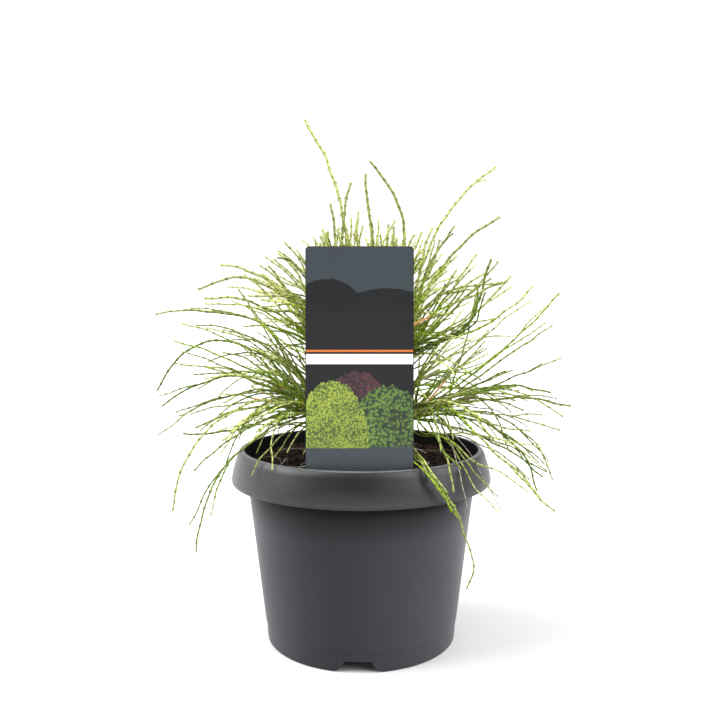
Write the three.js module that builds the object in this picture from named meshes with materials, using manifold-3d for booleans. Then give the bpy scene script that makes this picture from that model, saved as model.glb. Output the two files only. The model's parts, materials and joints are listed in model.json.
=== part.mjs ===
// A young thread-leaf oriental arborvitae in its round nursery pot, with a plain plant label.
// Millimetres, +Z up. The origin is the centre of the pot's foot, on the ground, and the label faces -Y.
// Angles are in degrees: an azimuth is counted from +X towards +Y, and a pitch upwards from the level.

import * as THREE from 'three';
import { mergeVertices } from 'three/addons/utils/BufferGeometryUtils.js';
import Module from 'manifold-3d';

const wasm = await Module();
wasm.setup();

// Clearance between neighbouring pieces
const GAP = 0.3;

// Pot
const POT_HEIGHT = 160;
const POT_FOOT_RADIUS = 79;
const POT_NECK_RADIUS = 92;
const POT_NECK_HEIGHT = 131;
const POT_WALL = 2.2;
const POT_SIDES = 48;
const FOOT_LINE_HEIGHT = 16;
const FOOT_LINE_STEP = 0.6;
const FOOT_RING_WIDTH = 9;
const FOOT_RECESS = 7.3;
const RIM_RADIUS = 108;
const RIM_LOW = 133;
const RIM_MOUTH_RADIUS = 97;
const NOTCH_COUNT = 4;
const NOTCH_TOP_WIDTH = 24.4;
const NOTCH_FOOT_WIDTH = 39.5;
const NOTCH_DEPTH = 13;

// Soil that fills the pot
const SOIL_EDGE_HEIGHT = 148.5;
const SOIL_MOUND_HEIGHT = 152;
const SOIL_FLAT_RADIUS = 16;

// Plant label: an upright plate that leans back a little, on a stake in the soil
const LABEL_WIDTH = 80;
const LABEL_TOP = 323;
const LABEL_SHOULDER = 154;
const LABEL_STAKE_WIDTH = 26;
const LABEL_STAKE_TIP = 118;
const LABEL_THICKNESS = 0.8;
const LABEL_CORNER = 2.4;
const LABEL_X = -1.3;
const LABEL_Y = -84.5;
const LABEL_LEAN = 4.7;

// Trunk
const TRUNK_FOOT = SOIL_MOUND_HEIGHT + GAP;
const TRUNK_TOP = 248;
const TRUNK_FOOT_RADIUS = 5.2;
const TRUNK_TOP_RADIUS = 2.4;
const TRUNK_FLARE = 3.4;
const TRUNK_FLARE_HEIGHT = 6;
const TRUNK_SIDES = 12;

// How far the plant has grown out of plumb by the height of its trunk's tip, in x and y
const LEAN_X = 6;
const LEAN_Y = -4;
const LEAN_HEIGHT = 107;

// The crown's tiers. Boughs leave the trunk at equal azimuths, at heights between attachLow and attachHigh,
// and each carries the stem of one foliage mass. Side shoots take their pitch, bend and length from here.
const TIERS = {
  low: {
    count: 8, firstAzimuth: 0, attachLow: 158, attachHigh: 184, pitch: 24, bend: 8, bough: 36, stem: 64,
    shoots: 13, fan: 52, shootPitch: 24, pitchSpread: 50, shootBend: 45, bendSpread: 50, shootLength: 125,
  },
  mid: {
    count: 6, firstAzimuth: 0, attachLow: 192, attachHigh: 218, pitch: 50, bend: 8, bough: 30, stem: 56,
    shoots: 14, fan: 62, shootPitch: 52, pitchSpread: 42, shootBend: 35, bendSpread: 45, shootLength: 132,
  },
  top: {
    count: 3, firstAzimuth: 60, attachLow: 230, attachHigh: 240, pitch: 56, bend: -26, bough: 22, stem: 50,
    shoots: 13, fan: 85, shootPitch: 66, pitchSpread: 18, shootBend: -10, bendSpread: 25, shootLength: 105,
  },
};
const ATTACH_TURN = 0.618034;
const ATTACH_PHASE = 0.35;
const PATH_STEPS = 24;
const BOUGH_ROWS = 5;
const STEM_ROWS = 6;
const STEM_SHORTENING = 4;
const BOUGH_ROOT_RADIUS = 2.1;
const STEM_ROOT_RADIUS = 1.7;
const STEM_TIP_RADIUS = 1.2;
const SHOOT_RADIUS = 1.0;
const SHOOT_ROOT_RADIUS = 0.45;
const SHOOT_TAPER = 0.35;

// Long shoots that make the crown's outline: mass, place along its stem, azimuth, pitch, bend and length
const LEADERS = [
  ['top_0', 0.15, 6, 57, -83, 152],
  ['top_1', 0.3, 165, 95, 41, 165],
  ['top_1', 0.75, 150, 94, -9, 85],
  ['top_1', 0.5, 200, 83, 0, 80],
  ['top_2', 0.6, 200, 78, -6, 100],
  ['mid_0', 0.4, 3, 91, 59, 173],
  ['mid_0', 0.48, 20, 92, 25, 100],
  ['mid_0', 0.5, 350, 92, 46, 106],
  ['mid_0', 0.1, 354, 76, 46, 151],
  ['mid_0', 0.51, 345, 22, -34, 98],
  ['mid_0', 0.54, 10, 6, -46, 114],
  ['mid_3', 0.1, 176, 39, 52, 168],
  ['mid_3', 0.68, 165, 92, 55, 82],
  ['mid_3', 0.67, 171, 69, 105, 124],
  ['mid_3', 0.75, 190, 72, 74, 101],
  ['mid_3', 0.72, 200, 44, 51, 96],
  ['low_0', 0.11, 352, 37, -12, 155],
  ['low_0', 0.46, 5, 40, 8, 117],
  ['low_0', 0.44, 351, 16, 31, 113],
  ['low_0', 0.16, 7, 32, 54, 122],
  ['low_0', 0.11, 350, 12, 95, 137],
  ['low_0', 0.1, 12, -9, 36, 138],
  ['low_4', 0.1, 175, 58, 61, 131],
  ['low_4', 0.47, 178, 63, 146, 152],
  ['low_4', 0.1, 182, 34, 81, 140],
  ['low_4', 0.22, 172, -30, -33, 114],
  ['low_5', 0.3, 229, 31, 118, 178],
  ['low_5', 0.43, 217, -7, 86, 148],
  ['low_7', 0.83, 311, -30, 3, 126],
  ['low_7', 0.1, 308, -4, 98, 160],
];

// Each mass draws from a seed of its own, counted from this one
const FIRST_SEED = 101;

// A leader is bent in more rows than the rest, and a fork in fewer. Places are tested along every row.
const LEADER_ROWS = 5;
const SHOOT_ROWS = 4;
const FORK_ROWS = 2;
const PLACES_PER_ROW = 5;

// Side shoots leave between this distance from the stem's foot and its tip, each in a number of tries.
// Where a try isn't free at its full length it is shortened. One that leaves sideways swings back outwards.
const LEAST_ROOT = 5;
const TRIES_PER_SHOOT = 30;
const SHORTENED = [1, 0.75, 0.5];
const SWING_BACK = 0.5;
const LEAST_SHOOTS = 5;

// How far a side shoot's pitch depends on its place along the stem and on chance, how much less shoots bend
// on the +X side than on the -X side, and the least share of the tier's length
const STEEPER_AT_FOOT = 0.3;
const STEEPER_BY_CHANCE = 0.9;
const SIDE_STIFFNESS = 0.5;
const SHORTEST_SHARE = 0.35;

// Forks: the share of shoots that have one, between which places it leaves, how widely, how far it bends,
// and its length as a share of what is left of the shoot
const FORK_SHARE = 0.55;
const FORK_FROM = 0.3;
const FORK_TO = 0.65;
const FORK_ANGLE = 14;
const FORK_BEND = 20;
const FORK_SHORTEST = 0.6;
const FORK_LONGEST = 0.95;

// The crown's reach, which the seeded shoots keep to
const REACH_X = 168;
const REACH_Y = 144;
const REACH_HEIGHT = 360;
const REACH_FALL = 0.42;
const REACH_LOW = 125;
const SHOOT_CLEARANCE = 0.25;
const LIMB_CLEARANCE = 0.75;
const SHOOT_SPACING = 2.4;

const radians = THREE.MathUtils.degToRad;

// Seeded random numbers between 0 and 1, the same on every run
function seededRandom(seed) {
  let state = seed >>> 0;
  return () => {
    state = (state + 0x6d2b79f5) >>> 0;
    let t = state;
    t = Math.imul(t ^ (t >>> 15), t | 1);
    t ^= t + Math.imul(t ^ (t >>> 7), t | 61);
    return ((t ^ (t >>> 14)) >>> 0) / 4294967296;
  };
}

// Solids and meshes

function solidFrom(geometry) {
  const bare = geometry.clone();
  bare.deleteAttribute('normal');
  bare.deleteAttribute('uv');
  const merged = mergeVertices(bare, 1e-4);
  return new wasm.Manifold(new wasm.Mesh({
    numProp: 3,
    vertProperties: new Float32Array(merged.attributes.position.array),
    triVerts: new Uint32Array(merged.index.array),
  }));
}

function geometryFrom(solid) {
  const mesh = solid.getMesh();
  const geometry = new THREE.BufferGeometry();
  geometry.setAttribute('position', new THREE.BufferAttribute(mesh.vertProperties, 3));
  geometry.setIndex(new THREE.BufferAttribute(mesh.triVerts, 1));
  geometry.computeVertexNormals();
  return geometry;
}

function join(solids) {
  return solids.reduce((whole, piece) => whole.add(piece));
}

// A round limb along a row of points: a cylinder, or a cone where the tip's radius is 0, bent to follow them
function limbGeometry(points, radiusAt, sides) {
  const rows = points.length - 1;
  const pointed = radiusAt(1) === 0;
  const geometry = new THREE.CylinderGeometry(pointed ? 0 : 1, 1, 1, sides, rows);
  const tangents = points.map((point, i) => points[Math.min(i + 1, rows)].clone()
    .sub(points[Math.max(i - 1, 0)]).normalize());
  let side = new THREE.Vector3(-tangents[0].y, tangents[0].x, 0);
  if (side.lengthSq() < 1e-6) side.set(1, 0, 0);
  const frames = tangents.map((tangent) => {
    side = side.clone().addScaledVector(tangent, -side.dot(tangent)).normalize();
    return { side, other: side.clone().cross(tangent) };
  });
  const position = geometry.attributes.position;
  const place = new THREE.Vector3();
  for (let i = 0; i < position.count; i += 1) {
    const row = Math.round((position.getY(i) + 0.5) * rows);
    const round = new THREE.Vector2(position.getX(i), position.getZ(i));
    if (round.lengthSq() > 1e-12) round.setLength(radiusAt(row / rows));
    place.copy(points[row])
      .addScaledVector(frames[row].side, round.x)
      .addScaledVector(frames[row].other, round.y);
    position.setXYZ(i, place.x, place.y, place.z);
  }
  return geometry;
}

// Pot, soil and label

function potBodyRadius(z) {
  const rise = (z - FOOT_LINE_HEIGHT) / (POT_NECK_HEIGHT - FOOT_LINE_HEIGHT);
  return THREE.MathUtils.lerp(POT_FOOT_RADIUS + 1.6, POT_NECK_RADIUS, rise);
}

function potInnerRadius(z) {
  return potBodyRadius(z) - POT_WALL;
}

const POT_FLOOR = FOOT_RECESS + POT_WALL;
const COLLAR_LOW = RIM_LOW + 9;
const COLLAR_SHELF = RIM_LOW + 1;
const COLLAR_RADIUS = RIM_MOUTH_RADIUS - 1.2;

function potSolid() {
  const ringRadius = POT_FOOT_RADIUS - FOOT_RING_WIDTH;
  const rimInside = RIM_RADIUS - POT_WALL;
  const outline = [
    [0, FOOT_RECESS],
    [ringRadius - 1, FOOT_RECESS],
    [ringRadius, 0],
    [POT_FOOT_RADIUS - 0.7, 0],
    [POT_FOOT_RADIUS, 0.7],
    [potBodyRadius(FOOT_LINE_HEIGHT) - FOOT_LINE_STEP, FOOT_LINE_HEIGHT - 0.6],
    [potBodyRadius(FOOT_LINE_HEIGHT), FOOT_LINE_HEIGHT],
    [POT_NECK_RADIUS, POT_NECK_HEIGHT],
    [RIM_MOUTH_RADIUS + 1.6, RIM_LOW + 4],
    [RIM_MOUTH_RADIUS + 1.8, POT_HEIGHT - 7],
    [rimInside - 4.4, POT_HEIGHT - 9],
    [rimInside - 0.9, RIM_LOW + 1],
    [rimInside, RIM_LOW],
    [RIM_RADIUS - 0.6, RIM_LOW + 0.6],
    [RIM_RADIUS, RIM_LOW + 2.6],
    [RIM_RADIUS - 1.6, RIM_LOW + 11],
    [RIM_RADIUS - 5.2, POT_HEIGHT - 4],
    [RIM_RADIUS - 6.8, POT_HEIGHT - 1.2],
    [RIM_RADIUS - 8.8, POT_HEIGHT],
    [RIM_MOUTH_RADIUS + 0.7, POT_HEIGHT - 0.3],
    [RIM_MOUTH_RADIUS, POT_HEIGHT - 1.2],
    [COLLAR_RADIUS, COLLAR_LOW],
    [potInnerRadius(COLLAR_SHELF), COLLAR_SHELF],
    [potInnerRadius(POT_FLOOR), POT_FLOOR],
    [0, POT_FLOOR],
  ].map(([radius, z]) => new THREE.Vector2(radius, z));
  return solidFrom(latheAboutZ(outline));
}

function latheAboutZ(outline) {
  return new THREE.LatheGeometry(outline, POT_SIDES).rotateX(Math.PI / 2);
}

// One drainage notch in the foot ring, wider at the ground than at its top
function notchCutter(azimuth) {
  const low = -1;
  const flare = (NOTCH_FOOT_WIDTH - NOTCH_TOP_WIDTH) / 2;
  const shape = new THREE.Shape();
  shape.moveTo(-NOTCH_FOOT_WIDTH / 2 - 1, low);
  shape.lineTo(NOTCH_FOOT_WIDTH / 2 + 1, low);
  shape.lineTo(NOTCH_FOOT_WIDTH / 2 - flare * 0.45, FOOT_RECESS * 0.35);
  shape.lineTo(NOTCH_TOP_WIDTH / 2, FOOT_RECESS + 0.1);
  shape.lineTo(-NOTCH_TOP_WIDTH / 2, FOOT_RECESS + 0.1);
  shape.lineTo(-NOTCH_FOOT_WIDTH / 2 + flare * 0.45, FOOT_RECESS * 0.35);
  const geometry = new THREE.ExtrudeGeometry(shape, { depth: NOTCH_DEPTH + 4, bevelEnabled: false });
  geometry.rotateX(Math.PI / 2);
  geometry.translate(0, -(POT_FOOT_RADIUS - NOTCH_DEPTH), 0);
  geometry.rotateZ(radians(azimuth + 90));
  return solidFrom(geometry);
}

function potWithNotches() {
  let pot = potSolid();
  for (let i = 0; i < NOTCH_COUNT; i += 1) {
    pot = pot.subtract(notchCutter(-90 + (360 / NOTCH_COUNT) * i));
  }
  return pot;
}

function soilHeight(radius) {
  const edge = COLLAR_RADIUS - GAP;
  const t = THREE.MathUtils.clamp((radius - SOIL_FLAT_RADIUS) / (edge - SOIL_FLAT_RADIUS), 0, 1);
  return THREE.MathUtils.lerp(SOIL_MOUND_HEIGHT, SOIL_EDGE_HEIGHT, t);
}

function labelPlate(growth) {
  const half = LABEL_WIDTH / 2 + growth;
  const stake = LABEL_STAKE_WIDTH / 2 + growth;
  const top = LABEL_TOP + growth;
  const shape = new THREE.Shape();
  shape.moveTo(-stake, LABEL_SHOULDER - 4 - growth);
  shape.lineTo(-stake * 0.3, LABEL_STAKE_TIP - growth);
  shape.lineTo(stake * 0.3, LABEL_STAKE_TIP - growth);
  shape.lineTo(stake, LABEL_SHOULDER - 4 - growth);
  shape.lineTo(half - 10, LABEL_SHOULDER - growth);
  shape.lineTo(half, LABEL_SHOULDER + 5);
  shape.absarc(half - LABEL_CORNER, top - LABEL_CORNER, LABEL_CORNER, 0, Math.PI / 2, false);
  shape.absarc(-half + LABEL_CORNER, top - LABEL_CORNER, LABEL_CORNER, Math.PI / 2, Math.PI, false);
  shape.lineTo(-half, LABEL_SHOULDER + 5);
  shape.lineTo(-half + 10, LABEL_SHOULDER - growth);
  const depth = LABEL_THICKNESS + 2 * growth;
  const geometry = new THREE.ExtrudeGeometry(shape, { depth, bevelEnabled: false, curveSegments: 4 });
  geometry.translate(0, -SOIL_MOUND_HEIGHT, -depth / 2);
  geometry.rotateX(radians(90 - LABEL_LEAN));
  geometry.translate(LABEL_X, LABEL_Y, SOIL_MOUND_HEIGHT);
  return solidFrom(geometry);
}

function soilSolid() {
  const edge = COLLAR_RADIUS - GAP;
  const floor = POT_FLOOR + GAP;
  const outline = [
    [0, floor],
    [potInnerRadius(floor) - GAP, floor],
    [potInnerRadius(COLLAR_SHELF) - GAP, COLLAR_SHELF + 0.2],
    [edge - 0.2, COLLAR_LOW + 0.2],
    [edge, SOIL_EDGE_HEIGHT],
    [(edge + SOIL_FLAT_RADIUS) / 2, soilHeight((edge + SOIL_FLAT_RADIUS) / 2)],
    [SOIL_FLAT_RADIUS, SOIL_MOUND_HEIGHT],
    [0, SOIL_MOUND_HEIGHT],
  ].map(([radius, z]) => new THREE.Vector2(radius, z));
  return solidFrom(latheAboutZ(outline)).subtract(labelPlate(GAP));
}

// Trunk and boughs

// Plant points are worked out about a plumb trunk, and grown() then moves them sideways by the lean
function grown(point) {
  const t = THREE.MathUtils.clamp((point.z - TRUNK_FOOT) / LEAN_HEIGHT, 0, 1);
  const share = t - Math.sin(2 * Math.PI * t) / (2 * Math.PI);
  return new THREE.Vector3(point.x + LEAN_X * share, point.y + LEAN_Y * share, point.z);
}

function trunkRadius(z) {
  const t = (z - TRUNK_FOOT) / (TRUNK_TOP - TRUNK_FOOT);
  const flare = TRUNK_FLARE * Math.exp(-(z - TRUNK_FOOT) / TRUNK_FLARE_HEIGHT);
  return THREE.MathUtils.lerp(TRUNK_FOOT_RADIUS, TRUNK_TOP_RADIUS, t) + flare;
}

function trunkSolid(growth) {
  const heights = [0, 0.03, 0.08, 0.15, 0.3, 0.5, 0.75, 1].map((t) => (
    THREE.MathUtils.lerp(TRUNK_FOOT, TRUNK_TOP, t)));
  const outline = [
    [0, heights[0] - growth],
    ...heights.map((z, i) => [
      trunkRadius(z) + growth, z + (i === 0 ? -growth : 0) + (i === heights.length - 1 ? growth : 0)]),
    [0, TRUNK_TOP + growth],
  ].map(([radius, z]) => new THREE.Vector2(radius, z));
  const geometry = new THREE.LatheGeometry(outline, TRUNK_SIDES).rotateX(Math.PI / 2);
  const position = geometry.attributes.position;
  for (let i = 0; i < position.count; i += 1) {
    const point = grown(new THREE.Vector3().fromBufferAttribute(position, i));
    position.setXYZ(i, point.x, point.y, point.z);
  }
  return solidFrom(geometry);
}

// Points along a shoot that leaves start at an azimuth and pitch. On its way it bends down by bend and
// turns sideways by swing.
function shoot(start, azimuth, pitch, bend, length, steps, swing = 0) {
  const points = [start.clone()];
  const stride = length / steps;
  for (let i = 0; i < steps; i += 1) {
    const t = (i + 0.5) / steps;
    const turn = radians(azimuth + swing * t);
    const rise = radians(Math.max(pitch - bend * t ** 1.3, -86));
    const level = stride * Math.cos(rise);
    const step = new THREE.Vector3(level * Math.cos(turn), level * Math.sin(turn), stride * Math.sin(rise));
    points.push(points[i].clone().add(step));
  }
  return points;
}

function along(points, share) {
  const place = share * (points.length - 1);
  const i = Math.min(Math.floor(place), points.length - 2);
  return points[i].clone().lerp(points[i + 1], place - i);
}

// Every foliage mass: its bough's points, its stem's points, and the space it keeps to
function layOutMasses() {
  const masses = [];
  for (const [tierName, tier] of Object.entries(TIERS)) {
    for (let k = 0; k < tier.count; k += 1) {
      const azimuth = tier.firstAzimuth + (360 / tier.count) * k;
      const attach = THREE.MathUtils.lerp(
        tier.attachLow, tier.attachHigh, (k * ATTACH_TURN + ATTACH_PHASE) % 1);
      const whole = tier.bough + GAP + tier.stem;
      const root = new THREE.Vector3(0, 0, attach);
      const path = shoot(root, azimuth, tier.pitch, tier.bend, whole, PATH_STEPS);
      const section = (from, to, rows) => Array.from({ length: rows + 1 }, (_, i) => (
        along(path, (from + ((to - from) * i) / rows) / whole)));
      let end = whole;
      const isShort = () => isClearOfPot(grown(along(path, end / whole)), STEM_ROOT_RADIUS + SHOOT_CLEARANCE);
      while (!isShort()) end -= STEM_SHORTENING;
      masses.push({
        name: `${tierName}_${k}`,
        tierName,
        tier,
        azimuth,
        halfWidth: 180 / tier.count,
        bough: section(0, tier.bough, BOUGH_ROWS),
        stem: section(tier.bough + GAP, end, STEM_ROWS),
      });
    }
  }
  return masses;
}

// The surfaces that divide the tiers' spaces, at a distance and azimuth from the trunk
function lowRoof(distance, turn) {
  const c = Math.cos(turn);
  return 187 + (0.8 - 0.25 * c) * distance + (0.0022 * c - 0.0013) * distance ** 2;
}

function midRoof(distance) {
  return 215 + 2.5 * distance;
}

// The height above or below a sloping surface at which a point stands clear of it by one unit
const LOW_ROOF_SLANT = 1.5;
const MID_ROOF_SLANT = 2.7;

function isInSpace(point, clear, mass) {
  const distance = Math.hypot(point.x, point.y);
  const turn = Math.atan2(point.y, point.x);
  let aside = Math.abs(THREE.MathUtils.radToDeg(turn) - mass.azimuth) % 360;
  aside = Math.min(aside, 360 - aside);
  if (aside >= mass.halfWidth) return false;
  if (distance * Math.sin(radians(Math.min(mass.halfWidth - aside, 90))) < clear) return false;
  const { z } = point;
  if (mass.tierName === 'low') return z < lowRoof(distance, turn) - clear * LOW_ROOF_SLANT;
  if (mass.tierName === 'top') return z > midRoof(distance) + clear * MID_ROOF_SLANT;
  return z > lowRoof(distance, turn) + clear * LOW_ROOF_SLANT
    && z < midRoof(distance) - clear * MID_ROOF_SLANT;
}

function isInReach(point) {
  const distance = Math.hypot(point.x, point.y);
  return Math.hypot(point.x / REACH_X, point.y / REACH_Y) < 1
    && point.z < REACH_HEIGHT - REACH_FALL * distance
    && point.z > REACH_LOW;
}

// Whether a point stands clear of the pot, the soil and the label
function isClearOfPot(point, clear) {
  const radius = Math.hypot(point.x, point.y);
  if (point.z < POT_HEIGHT + clear) {
    if (radius < COLLAR_RADIUS) {
      if (radius > COLLAR_RADIUS - clear || point.z < soilHeight(radius) + clear) return false;
    } else if (radius < RIM_RADIUS + clear) {
      return false;
    }
  }
  const lean = Math.tan(radians(LABEL_LEAN));
  const behind = point.y - (LABEL_Y + (point.z - SOIL_MOUND_HEIGHT) * lean);
  return behind > LABEL_THICKNESS / 2 + clear
    || Math.abs(point.x - LABEL_X) > LABEL_WIDTH / 2 + clear
    || point.z > LABEL_TOP + clear;
}

function distanceToPath(point, path) {
  let least = Infinity;
  for (let i = 0; i + 1 < path.length; i += 1) {
    const line = new THREE.Line3(path[i], path[i + 1]);
    least = Math.min(least, line.closestPointToPoint(point, true, new THREE.Vector3()).distanceTo(point));
  }
  return least;
}

function isClearOfLimbs(point, clear, masses) {
  const beside = THREE.MathUtils.clamp(point.z, TRUNK_FOOT, TRUNK_TOP);
  const nearTrunk = Math.hypot(point.x, point.y) < trunkRadius(beside) + clear;
  if (point.z < TRUNK_TOP + clear && nearTrunk) return false;
  return masses.every((mass) => distanceToPath(point, mass.bough) > BOUGH_ROOT_RADIUS + clear);
}

// A shoot is kept where places a few millimetres apart along it are clear. Its root is in the stem.
function isFree(points, radius, mass, masses, shoots, keepsToReach) {
  const clear = radius + SHOOT_CLEARANCE;
  const last = PLACES_PER_ROW * (points.length - 1);
  for (let i = 0; i <= last; i += 1) {
    const point = along(points, i / last);
    if (!isInSpace(point, clear, mass) || !isClearOfPot(grown(point), clear)) return false;
    if (i > 0 && !isClearOfLimbs(point, radius + LIMB_CLEARANCE, masses)) return false;
    if (keepsToReach && !isInReach(point)) return false;
    const isNear = (other) => distanceToPath(point, other) < SHOOT_SPACING;
    if (keepsToReach && i >= PLACES_PER_ROW && shoots.some(isNear)) return false;
  }
  return true;
}

// Foliage

function directionAt(points, share) {
  const step = 0.02;
  const ahead = along(points, Math.min(share + step, 1)).sub(along(points, Math.max(share - step, 0)));
  return {
    azimuth: THREE.MathUtils.radToDeg(Math.atan2(ahead.y, ahead.x)),
    pitch: THREE.MathUtils.radToDeg(Math.atan2(ahead.z, Math.hypot(ahead.x, ahead.y))),
  };
}

// One try at a side shoot, at its full length and shortened. It always takes the same number of draws.
function seededShoot(random, mass, index) {
  const { tier } = mass;
  const draw = Array.from({ length: 5 }, random);
  const share = THREE.MathUtils.lerp(LEAST_ROOT / tier.stem, 1, (index + draw[0]) / tier.shoots);
  const aside = tier.fan * (2 * draw[1] - 1);
  const stiffness = 1 - SIDE_STIFFNESS * Math.cos(radians(mass.azimuth));
  const steepness = STEEPER_AT_FOOT * (1 - 2 * share) + STEEPER_BY_CHANCE * (2 * draw[2] - 1);
  const pitch = tier.shootPitch + tier.pitchSpread * steepness;
  const bend = tier.shootBend * stiffness + tier.bendSpread * (2 * draw[3] - 1);
  const length = tier.shootLength * THREE.MathUtils.lerp(SHORTEST_SHARE, 1, Math.sqrt(draw[4]));
  const start = along(mass.stem, share);
  return SHORTENED.map((part) => {
    const swing = -SWING_BACK * aside * part;
    return shoot(start, mass.azimuth + aside, pitch, bend * part, length * part, SHOOT_ROWS, swing);
  });
}

function seededFork(random, parent) {
  const draw = Array.from({ length: 4 }, random);
  const share = THREE.MathUtils.lerp(FORK_FROM, FORK_TO, draw[0]);
  const from = directionAt(parent, share);
  const turn = (draw[1] < 0.5 ? -1 : 1) * FORK_ANGLE * (1 + draw[2]);
  const part = THREE.MathUtils.lerp(FORK_SHORTEST, FORK_LONGEST, draw[3]);
  const length = pathLength(parent) * (1 - share) * part;
  const pitch = from.pitch + FORK_ANGLE * (draw[3] - 0.5);
  return shoot(along(parent, share), from.azimuth + turn, pitch, FORK_BEND, length, FORK_ROWS);
}

function pathLength(points) {
  return points.slice(1).reduce((sum, point, i) => sum + point.distanceTo(points[i]), 0);
}

// All the shoots of one mass: its leaders, then the seeded ones, each with a fork where there is room
function shootsOf(mass, masses, seed) {
  const random = seededRandom(seed);
  const shoots = [];
  const keep = (choices, keepsToReach) => {
    const points = choices.find((choice) => (
      isFree(choice, SHOOT_RADIUS, mass, masses, shoots, keepsToReach)));
    const fork = seededFork(random, points ?? choices[0]);
    const wantsFork = random() < FORK_SHARE;
    if (!points) return false;
    shoots.push(points);
    const others = shoots.slice(0, -1);
    if (wantsFork && isFree(fork, SHOOT_RADIUS, mass, masses, others, true)) shoots.push(fork);
    return true;
  };
  const leaders = LEADERS.filter(([name]) => name === mass.name);
  for (const [, share, azimuth, pitch, bend, length] of leaders) {
    keep([shoot(along(mass.stem, share), azimuth, pitch, bend, length, LEADER_ROWS)], false);
  }
  const wanted = Math.max(mass.tier.shoots - leaders.length, LEAST_SHOOTS);
  for (let i = 0; i < wanted; i += 1) {
    let kept = false;
    for (let attempt = 0; attempt < TRIES_PER_SHOOT && !kept; attempt += 1) {
      kept = keep(seededShoot(random, mass, i), true);
    }
  }
  return shoots;
}

function shootRadius(t) {
  if (t === 0) return SHOOT_ROOT_RADIUS;
  return t < 1 ? SHOOT_RADIUS * (1 - SHOOT_TAPER * t) : 0;
}

function massSolid(mass, masses, seed) {
  const stemRadius = (t) => THREE.MathUtils.lerp(STEM_ROOT_RADIUS, STEM_TIP_RADIUS, t);
  const stem = solidFrom(limbGeometry(mass.stem.map(grown), stemRadius, 4));
  const shoots = shootsOf(mass, masses, seed).map((points) => (
    solidFrom(limbGeometry(points.map(grown), shootRadius, 3))));
  return join([stem, ...shoots]);
}

function boughSolid(mass, fatTrunk) {
  const radiusAt = (t) => THREE.MathUtils.lerp(BOUGH_ROOT_RADIUS, STEM_ROOT_RADIUS, t);
  return solidFrom(limbGeometry(mass.bough.map(grown), radiusAt, 6)).subtract(fatTrunk);
}

// The scene graph

const finishes = {
  pot: new THREE.MeshStandardMaterial({ color: 0x43474a, roughness: 0.45, metalness: 0 }),
  soil: new THREE.MeshStandardMaterial({ color: 0x2a2019, roughness: 0.95, metalness: 0 }),
  label: new THREE.MeshStandardMaterial({ color: 0x3c4247, roughness: 0.35, metalness: 0 }),
  bark: new THREE.MeshStandardMaterial({ color: 0x9a6b3f, roughness: 0.85, metalness: 0 }),
  foliage: new THREE.MeshStandardMaterial({ color: 0x9db53c, roughness: 0.6, metalness: 0 }),
};

const plant = new THREE.Group();

function addPiece(name, solid, finish) {
  const mesh = new THREE.Mesh(geometryFrom(solid), finish);
  mesh.name = name;
  plant.add(mesh);
}

addPiece('pot', potWithNotches(), finishes.pot);
addPiece('soil', soilSolid(), finishes.soil);
addPiece('label', labelPlate(0), finishes.label);
addPiece('trunk', trunkSolid(0), finishes.bark);

const masses = layOutMasses();
const fatTrunk = trunkSolid(GAP);
masses.forEach((mass, i) => {
  addPiece(`bough_${mass.name}`, boughSolid(mass, fatTrunk), finishes.bark);
  addPiece(`foliage_${mass.name}`, massSolid(mass, masses, FIRST_SEED + i), finishes.foliage);
});

export default plant;
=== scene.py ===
"""A young thread-leaf oriental arborvitae in its round nursery pot, with a plain plant label.

Plant and pot sizes are in millimetres, and M turns them into metres where a mesh is made. Angles are in
degrees: an azimuth is counted from +X towards +Y, and a pitch upwards from the level.
"""

import json
import math
import random

import bpy
import numpy as np
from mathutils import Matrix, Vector, noise

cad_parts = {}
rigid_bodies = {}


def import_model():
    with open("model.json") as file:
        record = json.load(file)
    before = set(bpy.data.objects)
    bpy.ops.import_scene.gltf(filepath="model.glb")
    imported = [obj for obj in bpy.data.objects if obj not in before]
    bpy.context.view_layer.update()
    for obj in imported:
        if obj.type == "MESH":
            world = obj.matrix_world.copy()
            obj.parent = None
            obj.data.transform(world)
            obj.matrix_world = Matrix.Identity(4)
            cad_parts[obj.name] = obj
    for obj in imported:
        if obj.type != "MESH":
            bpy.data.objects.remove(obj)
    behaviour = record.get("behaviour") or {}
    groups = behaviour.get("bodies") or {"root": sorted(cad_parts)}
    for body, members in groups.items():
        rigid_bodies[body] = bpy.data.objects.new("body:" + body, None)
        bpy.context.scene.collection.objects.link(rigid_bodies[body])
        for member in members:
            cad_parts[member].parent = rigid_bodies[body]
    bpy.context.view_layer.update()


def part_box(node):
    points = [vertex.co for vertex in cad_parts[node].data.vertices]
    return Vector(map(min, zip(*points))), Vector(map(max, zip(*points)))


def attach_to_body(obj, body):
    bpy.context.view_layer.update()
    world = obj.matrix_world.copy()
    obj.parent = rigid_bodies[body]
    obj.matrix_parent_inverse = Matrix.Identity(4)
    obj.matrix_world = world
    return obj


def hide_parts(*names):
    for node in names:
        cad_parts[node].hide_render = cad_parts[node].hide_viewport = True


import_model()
bpy.ops.object.select_all(action="DESELECT")

M = 0.001

# Pot
POT_HEIGHT = 160
POT_FOOT_RADIUS = 79
POT_NECK_RADIUS = 94.4
POT_NECK_HEIGHT = 131
POT_WALL = 2.2
FOOT_LINE_HEIGHT = 16
FOOT_LINE_STEP = 0.6
FOOT_RING_WIDTH = 9
FOOT_RECESS = 7.3
RIM_RADIUS = 108
RIM_LOW = 133
RIM_MOUTH_RADIUS = 97
COLLAR_LOW = RIM_LOW + 9
COLLAR_SHELF = RIM_LOW + 1
COLLAR_RADIUS = RIM_MOUTH_RADIUS - 1.2
NOTCH_COUNT = 4
NOTCH_AZIMUTH = -91.9
NOTCH_DEPTH = 13

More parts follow.
